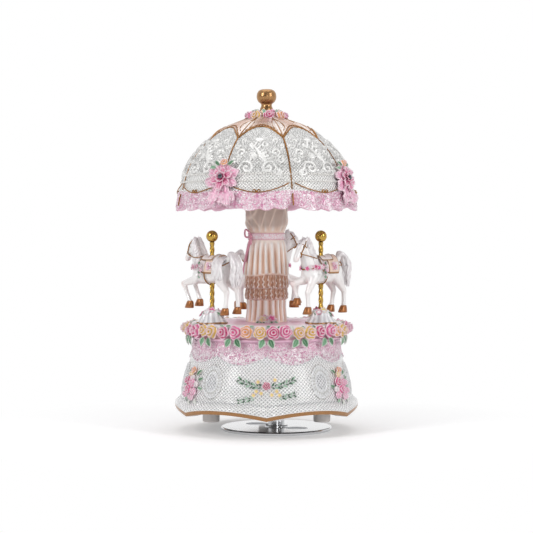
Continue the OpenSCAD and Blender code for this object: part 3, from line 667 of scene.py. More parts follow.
def makeLight():
    lightSpec = {
        "centre": (0, 0, 0.09), "room": 0.265,
        "boxes": {  # place, size in metres and power
            "left box": ((-0.7, -0.6, 0.6), (0.26, 0.55), 3.95),
            "right box": ((0.73, -0.58, 0.45), (0.26, 0.6), 3.1),
            "top box": ((0, 0.1, 0.95), (0.8, 0.8), 2.6),
            "front fill": ((0.24, -1.2, 0.36), (0.36, 0.5), 1.3),
        },
    }
    for name, (spot, size, power) in lightSpec["boxes"].items():
        softBox(name, spot, lightSpec["centre"], size, power)
    world = bpy.data.worlds.new("studio")
    bpy.context.scene.world = world
    world.use_nodes = True
    tree = world.node_tree
    tree.nodes.clear()
    path = addNode(tree, "ShaderNodeLightPath", out=None)
    where = addNode(tree, "ShaderNodeTexCoord", out="Generated")
    ahead = addNode(tree, "ShaderNodeSeparateXYZ", {0: where}, "Y")
    darkBehind = {"Value": ahead, "From Min": -0.7, "From Max": 0.5, "To Min": 0.12, "To Max": 1.0}
    mirrored = addNode(tree, "ShaderNodeMapRange", darkBehind)
    room, studio, paper = (
        addNode(tree, "ShaderNodeBackground", {"Color": (1, 1, 1, 1), "Strength": strength})
        for strength in (lightSpec["room"], mirrored, 1.0))
    dull = addNode(tree, "ShaderNodeMixShader", {0: path["Is Glossy Ray"], 1: room, 2: studio})
    pick = addNode(tree, "ShaderNodeMixShader", {0: path["Is Camera Ray"], 1: dull, 2: paper})
    addNode(tree, "ShaderNodeOutputWorld", {"Surface": pick}, None)
    bpy.context.scene.view_settings.view_transform = "Standard"


makeStage()
makeCamera()
makeLight()
print("stage ready")


# Metal and plastic nodes that keep their CAD shape

def coat(material, *names):
    for name in names:
        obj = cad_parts[name]
        obj.data.materials.clear()
        obj.data.materials.append(material)


coat(chrome, "winding_disc", "disc_hub")
coat(steel, "winding_arbor", "plate_screws", "bed_screws", "comb_screws", "cylinder_shaft", "cylinder_pinion",
     "governor_shaft", "governor_pinion", "worm", "comb", "mainspring", "fan")
coat(yellowBrass, "great_wheel", "spring_barrel", "barrel_cap", "tune_cylinder", "cylinder_gear",
     "worm_wheel")
coat(castMetal, "bedplate", "cylinder_bracket_inner", "cylinder_bracket_outer", "comb_base", "governor_frame")
coat(platePlastic, "bottom_plate")
coat(footPlastic, "feet")
coat(brass, "pole_ball_1", "pole_ball_2", "pole_ball_3")
print("plain nodes dressed")


# Base: bell with a wavy gold rim, net, lace skirt and medallions

baseSpec = {
    "outline": [(49.0, 9.9), (49.5, 11.0), (49.3, 13.6), (48.2, 15.6), (46.6, 17.0), (46.0, 19.4),
                (45.0, 26.0), (43.8, 31.0), (42.4, 35.5), (40.8, 40.0), (39.8, 43.4), (39.2, 49.5)],
    "inner": [(49.0, 9.9), (47.0, 9.85), (42.1, 9.9), (42.0, 10.1), (42.0, 15.0), (35.6, 15.0), (35.5, 15.1),
              (35.5, 49.4), (37.0, 49.5), (39.2, 49.5)],
    "rows": 124, "cols": 720, "cell": 1.12, "girth": 44.5, "beadRow": 17.3,
    "points": 6, "rise": 2.9, "scallops": 9, "skirtFoot": 38.2, "scallopRise": 4.4,
    "medallions": [s * 60 + d for s in (-1, 1, 3) for d in (-20, 20)],
    "medallionHeight": 29, "medallionSize": (6.6, 8.6),
}


# -1 to 1 across each of a number of equal parts of the turn
def across(deg, parts):
    half = 180 / parts
    return (np.mod(deg, 2 * half) - half) / half


def baseWave(deg):
    return baseSpec["rise"] * (1 - across(deg, baseSpec["points"]) ** 2)


def skirtEdge(deg):
    return baseSpec["skirtFoot"] + baseSpec["scallopRise"] * np.abs(across(deg, baseSpec["scallops"])) ** 1.7


# a fluted oval: relief, how much of the net it covers, and its painted shade in the flute hollows and the
# grooves round its rims
def medallion(deg, z, middle):
    wide, high = baseSpec["medallionSize"]
    x = (np.mod(deg - middle + 180, 360) - 180) / 180 * math.pi * baseSpec["girth"] / wide
    y = (z - baseSpec["medallionHeight"]) / high
    d, a = np.hypot(x, y), np.arctan2(y, x)
    inside = step(1.02, 0.98, d)
    flutes = np.cos(26 * a)
    rim = hump(d - 0.93, 0.06) + 0.5 * hump(d - 0.6, 0.05)
    shell = step(0.62, 0.66, d) * step(0.9, 0.84, d) * flutes
    spokes = step(0.24, 0.3, d) * step(0.56, 0.5, d) * np.cos(18 * a)
    out = inside * (0.25 + 0.35 * rim + 0.2 * shell + 0.14 * spokes)
    # painted shade in the hollows between the flutes and in the grooves round the rims
    dark = inside * (step(0.1, -0.9, flutes) * step(0.62, 0.7, d) * step(0.92, 0.86, d))
    grooveShade = np.clip(0.6 * dark + 0.45 * hump(d - 1.03, 0.05) + 0.4 * hump(d - 0.68, 0.05), 0, 1)
    return out, inside, 0.75 * inside * step(0.45, 0.5, d), grooveShade


def baseSurface():
    rows, cols = baseSpec["rows"], baseSpec["cols"]
    line, s = profile(baseSpec["outline"], rows)
    deg = ring(cols)
    r, z0 = line[:, :1], line[:, 1:]
    z = z0 + baseWave(deg) * step(24, 10.5, z0)
    edge = skirtEdge(deg)
    skirt = step(edge - 0.25, edge + 0.25, z)
    curls = laceField(deg, z, 108)
    depth = step(40, 49, z)  # 1 at the top, under the roses
    out = skirt * (0.35 + 0.35 * curls) + 0.3 * hump(z - edge - 0.5, 0.45)
    # under the roses the skirt is painted darker pink, with fewer white curls and fainter lace: partly its
    # own colour, partly painted shade from the garland; lower down it is whiter
    lacePaint = mix(linear("#F6CADF"), linear("#FFF6F9"), step(0.12, 0.55, curls) * (1 - 0.45 * depth))
    lacePaint = mix(mix(lacePaint, white, 0.6 * (1 - depth)), linear("#EAB4D0"), 0.2 * depth)
    paint = mix(np.ones((rows, cols, 3)), lacePaint, skirt)
    # painted shadow: a grey band just under the skirt's scalloped edge
    paint = mix(paint, greyWhite, 0.35 * hump(z - edge + 0.4, 0.35))
    net = step(12.0, 12.4, z0) * (1 - skirt)
    for middle in baseSpec["medallions"]:
        relief, inside, cover, grooveShade = medallion(deg, z, middle)
        out += relief
        net *= 1 - cover
        paint = mix(mix(paint, greyWhite, 0.5 * inside), linear("#A9A69D"), grooveShade)
    band = step(12.1, 11.8, z0)
    low = z0 - baseSpec["beadRow"]
    dots = hump(low, 0.3) * step(-0.2, 0.6, np.cos(np.radians(deg) * 200))
    out += 0.25 * dots
    # painted shade: grey between and round the beads of the bead row
    paint = mix(paint, linear("#A9AAB2"), 0.5 * hump(low, 0.5) * (1 - dots))
    paint = mix(paint, goldTint, band)
    slope = heading(line)
    shape = grid(around(deg, r + out * slope[:, 1:], z - out * slope[:, :1]))
    return painted(shape, paint, band * 0.85 + 0 * deg, net=net.reshape(-1),
                   lace=(skirt * (1.3 - 0.6 * depth)).reshape(-1), uv=netCells(baseSpec, rows, s[-1]))


# underside and inside of the shell, plain cast resin
def baseInside():
    cols, rimRows = 180, 2
    deg = ring(cols)
    line = np.array(baseSpec["inner"])
    shape = grid(around(deg, line[:, :1], line[:, 1:] + baseWave(deg) * step(14, 10.5, line[:, 1:])))
    gilt = np.repeat(np.arange(len(line)) < rimRows, cols)
    return painted(shape, mix(greyWhite, goldTint, gilt), 0.85 * gilt)


piece("base_bell", baseSurface(), baseResin, nodes=("base_shell",))
piece("base_inner_wall", baseInside(), mixedResin)
print("base done")

baseLine = profile(baseSpec["outline"], 200)[0]


def baseRadius(z):
    return float(np.interp(z, baseLine[:, 1], baseLine[:, 0]))


# a point on the bell and the way it faces; x in mm to the right of an angle
def onBase(deg, x, girth, z, out):
    deg = deg + math.degrees(x / girth)
    face = unit(around(deg, 1.0, baseRadius(z - 0.5) - baseRadius(z + 0.5)))
    return around(deg, baseRadius(z), z) + out * face, face


# Painted sprigs: a rose with leafy sprays to both sides, on three of the six fronts
def makeSprigs():
    leaves, flowers, roses = [], [], []
    for mid in (0, 120, 240):
        for side in (-1, 1):
            for k in range(9):
                t = k / 8
                for up in (-1, 1):
                    z = 27.4 + 0.6 * t + 2.9 * t ** 2 + 0.25 * up
                    roll = -90 * side + side * (10 + 16 * t) + up * side * (38 + 12 * math.sin(5 * k + up))
                    spot = onBase(mid, side * (2.8 + 11.6 * t), 44.6, z, 0.1)
                    leaves.append((*spot, roll, 1.15 + 0.25 * math.sin(3.7 * k + up),
                                   darkGreen if (k + up) % 3 else mintTint))
            for k in range(6):
                t = k / 5
                for up in (-1, 1):
                    roll = -90 * side + 12 + up * side * (36 + 10 * math.sin(4 * k))
                    spot = onBase(mid, side * (6.6 + 7.4 * t), 45.4, 21.6 + side * 1.8 * t + 0.2 * up, 0.1)
                    leaves.append((*spot, roll, 0.95 + 0.2 * math.sin(2.9 * k + up),
                                   darkGreen if k % 2 else mintTint))
            for x, z in ((4.4, 30.4 + 0.5 * side), (5.2, 25.2), (2.7, 23.8 - 0.4 * side), (6.6, 23.2)):
                flowers.append((*onBase(mid, side * x, 44.8, z, 0.15), 40 * x, 1.2, creamTint))
        roses.append((*onBase(mid, 0, 44.8, 27.8, 0.4), 20, 2.3, linear("#BE1E5C")))
    scatter("sprig_leaves", slimLeafItem, leaves, leafPaint)
    scatter("sprig_flowers", blossomItem, flowers, petalPaint)
    scatter("sprig_roses", roseItem, roses, petalPaint)


# Bouquets on the other three fronts
def makeBouquets():
    girth = 44.4
    pinks = [linear(h) for h in ("#E98FB6", "#EBA3C2", "#EFA9C6", "#F3C3D6")]
    bloomSpec = ((0.0, 34.0, 2.1, orangeTint), (-1.8, 31.8, 1.9, creamTint), (-3.6, 28.2, 2.7, pinkTint),
                 (1.6, 27.4, 2.6, pinks[0]), (-1.6, 24.2, 2.7, rosePink), (3.4, 23.2, 2.4, pinks[1]),
                 (-5.6, 24.6, 1.8, whiteTint), (4.8, 27.0, 1.7, whiteTint), (0.6, 30.2, 1.7, whiteTint),
                 (-4.8, 21.4, 2.2, pinks[2]), (1.6, 20.2, 2.2, pinks[3]))
    leafSpec = ((3.6, 31.6, -40, 2.2, greenTint), (5.4, 29.2, -70, 2.0, greenTint),
                (-6.4, 25.6, 70, 1.9, greenTint), (6.0, 25.4, -95, 1.9, paleGreen),
                (-3.4, 20.4, 150, 2.0, paleGreen), (4.2, 19.8, -150, 2.1, whiteTint),
                (-0.4, 19.0, 180, 1.9, whiteTint), (-3.8, 32.6, 50, 1.8, greenTint))
    roses = [(*onBase(mid, x, girth, z, 0.7), 70 * x + z * 9, big, tint)
             for mid in poleAngles for x, z, big, tint in bloomSpec]
    leaves = [(*onBase(mid, x, girth, z, 0.3), *look) for mid in poleAngles for x, z, *look in leafSpec]
    scatter("bouquet_bloom", roseItem, roses, petalPaint, ("bouquet_flowers",))
    scatter("bouquet_leaf", leafItem, leaves, leafPaint, ("bouquet_leaves",))


makeSprigs()
makeBouquets()
print("base flowers done")


# Platform: lip, cove behind the roses and a pink top

def makePlatform():
    platformSpec = {
        "outline": [(34.0, 47.0), (35.2, 47.0), (35.2, 49.5), (39.4, 49.5), (41.7, 50.5), (41.9, 51.2),
                    (41.2, 51.7), (40.6, 52.8), (40.8, 55.0), (41.3, 57.2), (40.6, 58.2), (39.0, 58.5),
                    (30.0, 58.5), (16.0, 58.5), (8.1, 58.5)],
        "rows": 90, "cols": 240, "curls": 60,
    }
    rows, cols, curls = (platformSpec[key] for key in ("rows", "cols", "curls"))
    line = np.array(platformSpec["outline"])
    deg = ring(cols)
    along = np.linspace(0, len(line) - 1, rows)
    r, z = (np.interp(along, np.arange(len(line)), line[:, k])[:, None] for k in (0, 1))
    ripple = 0.12 * laceCurls(deg / 360 * curls, r / 4.0, curls) * step(57.9, 58.4, z)
    top = step(57.6, 58.3, z)
    tone = mix(white, mix(hemPink, palePink, step(26, 40, r)), top)
    tone = mix(tone, deepPink, 0.45 * top * step(17, 9, r))
    tone = mix(tone, linear("#EFBAD4"), 0.85 * step(53.5, 52.0, z))
    shape = grid(around(deg, r, z + ripple))
    piece("platform_cast", painted(shape, np.repeat(tone, cols, 1)), mixedResin,
          nodes=("platform",))


def makeGarland():
    garlandSpec = {
        "roses": 40, "roseSize": 3.9, "leafPairs": 15, "leafSize": 2.7, "topLeafSize": 1.9,
        "roseRing": (42.5, 55.2), "leafRing": (42.3, 51.8), "topRing": (40.8, 58.2),  # radius and height
    }
    radius, height = garlandSpec["roseRing"]
    tints = (pinkTint, rosePink, orangeTint, yellowTint)
    pink, yellow, leaves, tops = [], [], [], []
    for i in range(garlandSpec["roses"]):
        deg = 360 / garlandSpec["roses"] * (i + 0.5)
        tint = yellowTint if i % 8 == 2 else tints[i % 4]
        spot = around(deg + 0.5 * math.sin(i * 4.1), radius, height + 0.4 * math.sin(i * 1.7))
        facing = around(deg, 1.0, 0.12 + 0.1 * math.sin(i * 2.3))
        (pink if i % 4 < 2 else yellow).append(
            (spot, facing, 47 * i, garlandSpec["roseSize"] + 0.25 * math.sin(i * 2.9), tint))
        tops.append((around(deg + 4.5, *garlandSpec["topRing"]), around(deg + 2, 0.6, 1.0),
                     180 + 70 * math.sin(i * 3.1), garlandSpec["topLeafSize"],
                     (greenTint, whiteTint, paleGreen)[i % 3]))
    for i in range(garlandSpec["leafPairs"]):
        deg = 360 / garlandSpec["leafPairs"] * i
        for side, tint in ((-1, linear("#5E9A6E")), (1, greenTint)):
            leaves.append((around(deg + side * 2.0, *garlandSpec["leafRing"]), around(deg, 1.0, 0.22),
                           180 + side * (24 + 8 * math.sin(i)), garlandSpec["leafSize"], tint))
    scatter("garland_rose_pink", roseItem, pink, petalPaint, ("garland_pink_roses",))
    scatter("garland_rose_yellow", roseItem, yellow, petalPaint, ("garland_yellow_roses",))
    scatter("garland_leaf", broadLeafItem, leaves, leafPaint, ("garland_leaves",))
    scatter("garland_top_leaf", leafItem, tops, leafPaint)


makePlatform()
makeGarland()
print("platform and garland done")


# Pole mounds: fluted skirts with a wavy gold edge, flowers round the pole

def makeMounds():
    moundSpec = {
        "outline": [(8.0, 58.6), (7.9, 59.4), (7.0, 60.6), (5.9, 62.4), (5.1, 64.4), (4.3, 65.7), (2.6, 66.1),
                    (1.5, 66.1)],
        "rows": 40, "cols": 120, "flutes": 14, "flowers": 11,
    }
    line, _ = profile(moundSpec["outline"], moundSpec["rows"])
    deg = ring(moundSpec["cols"])
    r0, z0 = line[:, :1], line[:, 1:]
    flute = np.cos(np.radians(moundSpec["flutes"] * deg)) * step(66, 61, z0) * 0.28
    lift = 0.35 * np.sin(np.radians(3 * deg)) * step(60.2, 58.6, z0)
    rim = step(59.55, 59.3, z0)
    # painted shade: grey in the hollows of the flutes
    tone = mix(mix(white, greyWhite, step(0.05, -0.25, flute) * 0.8), goldTint, rim)
    points = around(deg, r0 + flute + 0.25 * rim, z0 + np.maximum(lift, -0.1))
    tints = (rosePink, creamTint, whiteTint, pinkTint)
    flowers, leaves = [], []
    for k, a in enumerate(poleAngles):
        mid = around(a, poleRing, 0.0)
        name = "mound_%d" % (k + 1)
        piece(name, painted(grid(points + mid), tone, rim * 0.85 + 0 * deg), mixedResin,
              nodes=("pole_" + name,))
        for j in range(moundSpec["flowers"]):
            d = 32.7 * j + 20 * k
            out = around(d, 1.0, 0.7)
            spot = mid + around(d, 3.7 + 0.9 * (j % 3), 65.6 - 1.1 * (j % 3))
            if j % 2:
                leaves.append((spot, out, 180 + 50 * math.sin(j), 1.8, greenTint))
            else:
                flowers.append((spot, out, 60 * j, 1.9, tints[(j + k) % 4]))
    scatter("mound_flowers", blossomItem, flowers, petalPaint)
    scatter("mound_leaves", leafItem, leaves, leafPaint)


# Twisted poles: a bar with four soft edges, twisted along its length
def makePoles():
    poleSpec = {"low": 66.0, "high": 101.6, "twist": 800, "plain": 1.3,
                "foot": (54.6, 66.1), "neck": (101.5, 105.4)}
    low, high = poleSpec["low"], poleSpec["high"]
    z, a = np.linspace(low, high, 170)[:, None], turns(32)
    turn = a - (z - 67.0) / 34.0 * math.radians(poleSpec["twist"])
    grip = step(low, low + 2.2, z) * step(high, high - 2.0, z)
    r = poleSpec["plain"] * (1 - grip) + grip * (1.04 + 0.25 * np.cos(4 * a))
    points = stack(r * np.cos(turn), r * np.sin(turn), z)
    for k, angle in enumerate(poleAngles):
        foot, neck = (tube([around(angle, poleRing, end) for end in poleSpec[key]], size, 24)
                      for key, size in (("foot", 1.28), ("neck", 1.15)))
        pole = merge([grid(points + around(angle, poleRing, 0.0)), foot, neck])
        name = "pole_%d" % (k + 1)
        piece("twisted_" + name, pole, brass, nodes=(name,))


makeMounds()
makePoles()
print("mounds and poles done")


# Column: pleats, two ruffles, curtain, sash with bow, gathered top

columnSpec = {
    "outline": [(11.0, 58.5), (10.4, 63.0), (10.1, 67.0), (10.2, 70.6), (11.2, 70.9), (11.4, 73.0),
                (10.9, 76.6), (11.5, 76.9), (11.5, 79.0), (11.1, 83.2), (11.8, 83.7), (11.6, 87.0),
                (11.2, 91.0), (10.8, 95.0), (10.3, 99.0), (9.6, 102.6), (9.3, 105.0), (9.6, 107.0),
                (10.3, 109.4), (10.9, 112.0), (11.2, 116.0), (11.1, 121.0), (10.7, 127.0), (10.4, 134.0),
                (10.4, 140.0)],
    "rows": 220, "cols": 400, "frills": (70.9, 76.8, 83.3), "frillDrops": (5.8, 6.3), "sash": (102.8, 106.4),
    "curtainFolds": 19, "footFolds": 17, "frillFolds": 23, "crimps": 52, "gathers": 16, "sashCurls": 44,
    "loops": (((-54, 10.2, 104.9), (-60, 11.2, 107.4), (-72, 11.8, 108.2), (-80, 11.9, 106.2),
               (-72, 11.6, 104.2), (-55, 10.4, 104.6)),
              ((-54, 10.2, 104.4), (-48, 11.2, 103.2), (-47, 11.4, 100.8), (-57, 11.3, 100.9),
               (-55, 10.4, 104.2))),
    "falls": (((-56, 10.3, 104.2), (-66, 10.9, 99.0), (-76, 11.6, 93.0), (-84, 12.2, 87.6),
               (-88, 12.6, 84.2)),
              ((-55, 10.2, 104.0), (-58, 10.7, 100.0), (-68, 11.4, 95.0), (-72, 11.8, 91.0))),
    "knot": (-55, 10.5, 104.5),
}


def makeColumn():
    line, _ = spine(columnSpec["outline"], columnSpec["rows"])
    r, z = line[:, :1], line[:, 1:]
    deg = ring(columnSpec["cols"])
    a = np.radians(deg)
    frillFoot, frillMiddle, frillTop = columnSpec["frills"]
    lowDrop, highDrop = columnSpec["frillDrops"]
    sashFoot, sashTop = columnSpec["sash"]
    wander = 0.35 * np.sin(3 * a + 0.07 * z) + 0.25 * np.sin(5 * a - 0.05 * z)
    curtain = np.cos(columnSpec["curtainFolds"] * a + 2.2 * wander)
    curtain = curtain * step(sashFoot, sashFoot - 2.8, z) * step(frillTop + 0.1, frillTop + 1.1, z)
    low = np.cos(columnSpec["footFolds"] * a + 2.0 * wander + 1.0)
    low = low * step(58, 60, z) * step(frillFoot - 0.1, frillFoot - 0.7, z)
    tier = step(frillFoot - 0.2, frillFoot + 0.2, z) * step(frillTop + 0.2, frillTop - 0.2, z)
    upper = z >= frillMiddle  # the second of the two ruffles
    drop = np.where(upper, (frillTop - z) / highDrop, (frillMiddle - z) / lowDrop)
    drop = np.clip(drop, 0, 1)  # 1 at a ruffle's hem
    zig = np.abs(np.mod(2.2 * drop + 0.4 * np.sin(5 * a) + 0.35 * np.sin(13 * a), 1) * 2 - 1)
    ruffle = np.cos(columnSpec["frillFolds"] * a + 1.8 * wander + 2.6 * zig + 2.0 * upper)
    ruffle = ruffle * (0.45 + 0.55 * drop) * tier
    crimp = np.cos(columnSpec["crimps"] * a + 3 * wander + 3.2 * zig) * tier
    gather = np.cos(columnSpec["gathers"] * a + wander * 2) * step(106.5, 108, z) * step(122, 110, z)
    topPart = step(107.5, 111, z)
    flow = 3 * a + 0.17 * z + 1.7 * np.sin(2 * a + 0.13 * z)
    cross = 4 * a - 0.21 * z + 1.3 * np.sin(3 * a)
    ridge = np.maximum((1 - np.abs(np.sin(flow))) ** 3, (1 - np.abs(np.sin(cross))) ** 4) * topPart
    fold = 0.55 * curtain + 0.55 * low + 0.42 * ruffle + 0.26 * crimp + 0.3 * gather
    sash = step(sashFoot - 0.2, sashFoot + 0.2, z) * step(sashTop + 0.2, sashTop - 0.2, z)
    ribs = 0.3 * laceCurls(deg / 360 * columnSpec["sashCurls"], z / 1.3, columnSpec["sashCurls"])
    caught = np.maximum(0, np.cos(a * 2 - 0.6)) * hump(z - frillTop - 0.9, 1.6)  # curtain's hem, held up
    hemUp = 1.2 * caught + 0.5 * drop ** 2 * ruffle
    out = fold * (1 - sash) + sash * (0.35 + ribs) + 0.45 * ridge
    # the pleats and ruffles are painted lighter where they stand out and darker in their hollows, brown
    # deepest in the ruffles: painted highlight and painted shade
    light, mid, shade, grey, brown = (
        linear(h) for h in ("#FFFAF5", "#F5DDCC", "#D0A186", "#BDA699", "#BA8970"))
    level = 0.5 + 0.5 * np.clip(fold / 0.55, -1, 1)
    tone = mix(mix(shade, mid, step(0.0, 0.35, level)), light, step(0.5, 0.9, level))
    frilled = mix(mix(brown, shade, step(0.1, 0.5, level)), light, 0.85 * step(0.62, 0.95, level))
    tone = mix(tone, frilled, tier)
    # painted highlight: the curtain paler just under the sash, and the ruffles paler along their hems
    tone = mix(tone, light, 0.5 * step(94, 101, z) * step(104, 102, z))
    tone = mix(tone, light, 0.35 * tier * step(0.86, 1.0, drop))
    # the gathered top is grey-beige, paler on its raised swirls: partly their own colour, partly painted
    # highlight
    tone = mix(tone, mix(grey, linear("#EBD6C8"), 0.85 * np.clip(1.6 * ridge, 0, 1)), 0.85 * topPart)
    pink = mix(linear("#F6CBD5"), linear("#FFFBFC"), step(0.06, 0.22, ribs))
    sashEdges = hump(z - sashFoot - 0.1, 0.35) + hump(z - sashTop + 0.1, 0.35)
    pink = mix(pink, linear("#D4708F"), 0.7 * sashEdges)
    tone = mix(tone, pink, sash)
    shape = grid(around(deg, r + out, z + hemUp))
    piece("draped_column", painted(shape, tone), columnResin, nodes=("column",))


def makeColumnTrim():
    ribbon = [tube(smoothPath([around(*p) for p in loop], 30), 0.5) for loop in columnSpec["loops"]]
    ribbon += [tube(smoothPath([around(*p) for p in fall], 40), np.linspace(0.45, 0.75, 40))
               for fall in columnSpec["falls"]]
    ribbon.append(ball(around(*columnSpec["knot"]), 1.1, (1, 1, 1.15)))
    piece("sash_bow", painted(merge(ribbon), linear("#E5A0B5")), columnResin)
    flowers, leaves = [], []
    for k in range(7):
        d = -14 + 5.2 * k
        spot = around(d, 12.2 + (k % 2), 59.8 + 0.5 * (k % 3))
        flowers.append((spot, around(d, 1.0, 0.8), 50 * k, 2.2, (whiteTint, creamTint, rosePink)[k % 3]))
    for k in range(6):
        d = -20 + 8 * k
        leaves.append((around(d, 13.2, 59.2), around(d, 0.9, 1.0), 180 + 30 * math.sin(3 * k), 1.8,
                       (greenTint, paleGreen)[k % 2]))
    scatter("column_foot_flowers", blossomItem, flowers, petalPaint)
    scatter("column_foot_leaves", leafItem, leaves, leafPaint)


makeColumn()
makeColumnTrim()
print("column done")


# Canopy: eight panels with scrollwork, gold arches and swags, lace frill

canopySpec = {
    "outline": [(47.9, 118.9), (48.1, 121.2), (47.0, 127.0), (45.6, 132.5), (44.0, 138.0), (41.6, 143.5),
                (38.3, 148.5), (33.4, 154.0), (27.0, 159.6), (19.5, 164.0), (15.0, 166.0), (11.6, 167.5),
                (8.0, 169.2), (3.0, 171.4)],
    "lining": [(48.3, 118.9), (47.2, 118.6), (45.4, 119.2), (44.0, 120.6), (42.6, 124.6), (40.8, 130.0),
               (39.0, 135.4), (36.4, 140.6), (32.4, 146.0), (27.0, 151.4), (21.4, 156.4), (15.4, 160.0),
               (13.0, 161.4), (10.5, 140.1), (6.1, 140.0)],
    "panels": 8, "rib": 16.4, "cols": 720, "cell": 1.0, "girth": 44, "beadRows": (137.0, 133.4), "beads": 26,
    "foot": 118.9, "seam": 128.9, "top": 171.4,
    "swag": (127.4, 5.8), "frill": (127.9, 1.0), "arch": (156.2, 5.4),  # lowest height and rise
}
panelAngle = 360 / canopySpec["panels"]
canopyOutline = profile(canopySpec["outline"], 300)[0]


def canopyAt(z):
    return np.interp(z, canopyOutline[:, 1], canopyOutline[:, 0])


# how far round its panel a point is: 0 at the middle, -0.5 and 0.5 at the ribs
def panelTurn(deg):
    return np.mod(deg - canopySpec["rib"], panelAngle) / panelAngle - 0.5


def swagLine(turn):
    low, rise = canopySpec["swag"]
    return low + rise * np.abs(2 * turn) ** 1.8


def frillLine(turn):
    low, rise = canopySpec["frill"]
    return low + rise * np.abs(2 * turn) ** 2


def archLine(turn):
    low, rise = canopySpec["arch"]
    return low + rise * (1 - np.abs(2 * turn) ** 2.2)


# how far a panel swells out between its ribs
def swell(turn, z):
    return (0.85 * (1 - np.abs(2 * turn) ** 2.6) - 0.1) * step(122, 129, z) * step(169, 161, z)


def hemPinch(turn):
    return hump(np.abs(turn) - 0.5, 0.07)


def hemLine(turn):
    return 1.4 * np.abs(2 * turn) ** 2.2 + 1.8 * hemPinch(turn)


def hemRuffle(deg):
    return 1 - 1.6 * np.abs(np.sin(np.radians(deg) * 32 + 0.9 * np.sin(np.radians(deg) * 8)))


# soft lumps of the frill, about three to a panel
def hemPuff(deg):
    a = np.radians(deg)
    return np.cos(24 * a + 1.2 * np.sin(8 * a) + 1.3 * np.sin(3 * a)) * (1 - hemPinch(panelTurn(deg)))


def hemRise(deg):
    return 0.15 * hemRuffle(deg) - 0.5 * hemPuff(deg)


def hemOut(deg):
    return 0.55 * hemPuff(deg) - 0.2 * hemRuffle(deg) - 1.3 * hemPinch(panelTurn(deg))


# a stroke's width, thin at both ends
def taper(t, wide, reach=0.85, start=0.1):
    return wide * np.sin(math.pi * (start + reach * t))


# strokes of the embossed panels, in millimetres across and up from the swag
def scrollStrokes():
    # middle, radius, winds, first angle and width of each spiral
    spirals = ((5.4, 10.5, 4.0, 1.5, -40, 0.75), (8.6, 19.4, 3.0, 1.4, 200, 0.65),
               (3.6, 24.6, 2.5, 1.3, 20, 0.6), (11.0, 8.4, 2.4, 1.2, 120, 0.55),
               (7.6, 27.4, 1.8, 1.2, 250, 0.5), (12.2, 15.2, 2.3, 1.3, 60, 0.55),
               (2.6, 17.6, 1.9, 1.2, 300, 0.5), (11.6, 24.0, 1.8, 1.2, 160, 0.5))
    strokes = []

    def ray(x, y, length, degrees, t, width):
        a = math.radians(degrees)
        strokes.append((x + length * t * math.cos(a), y + length * t * math.sin(a), width))

    t = np.linspace(0, 1, 40)
    for side in (-1, 1):
        for cx, cy, r0, winds, start, wide in spirals:
            s = np.linspace(0, 1, 60)
            a = math.radians(start) + s * winds * tau
            r = r0 * (1 - s) ** 0.8
            strokes.append((side * (cx + r * np.cos(a)), cy + r * np.sin(a),
                            wide * (0.55 + 0.45 * np.sin(math.pi * s) + 0.3 * s)))
        strokes.append((side * (1.2 + 2.6 * np.sin(3.0 * t)), 8.5 + 12 * t, taper(t, 0.55)))
        strokes.append((side * (13.0 - 6.0 * t), 2.6 + 12 * t ** 0.7, taper(t, 0.7)))
        for k in range(5):
            lean = 20 + 32 * k
            ray(side * 2.0, 16.0, 2.6, lean if side > 0 else 180 - lean, t, taper(t, 0.55, 0.8, 0.15))

    def feather(q):
        return -4.4 + 8.6 * q + 1.4 * np.sin(3.1 * q), 26.5 - 13.5 * q - 2.0 * np.sin(math.pi * q)

    strokes.append((*feather(t), taper(t, 1.15, 0.9, 0.06)))
    for k in range(6):
        ray(*feather(0.16 + 0.13 * k), 4.2, 66 - 8 * k, t, taper(t, 0.6))
    t = np.linspace(0, 1, 20)
    for k in range(7):
        ray(0.0, 26.4, 3.4, 30 + 20 * k, t, taper(t, 0.6, 0.8))
    return strokes


def scrollHeight(x, y):
    high = np.zeros(x.shape)
    for sx, sy, wide in scrollStrokes():
        for px, py, w in zip(sx[::2], sy[::2], wide[::2]):
            far = ((x - px) ** 2 + (y - py) ** 2) / (w + 0.05) ** 2
            high = np.maximum(high, np.sqrt(np.clip(1 - far, 0, 1)))
    return high


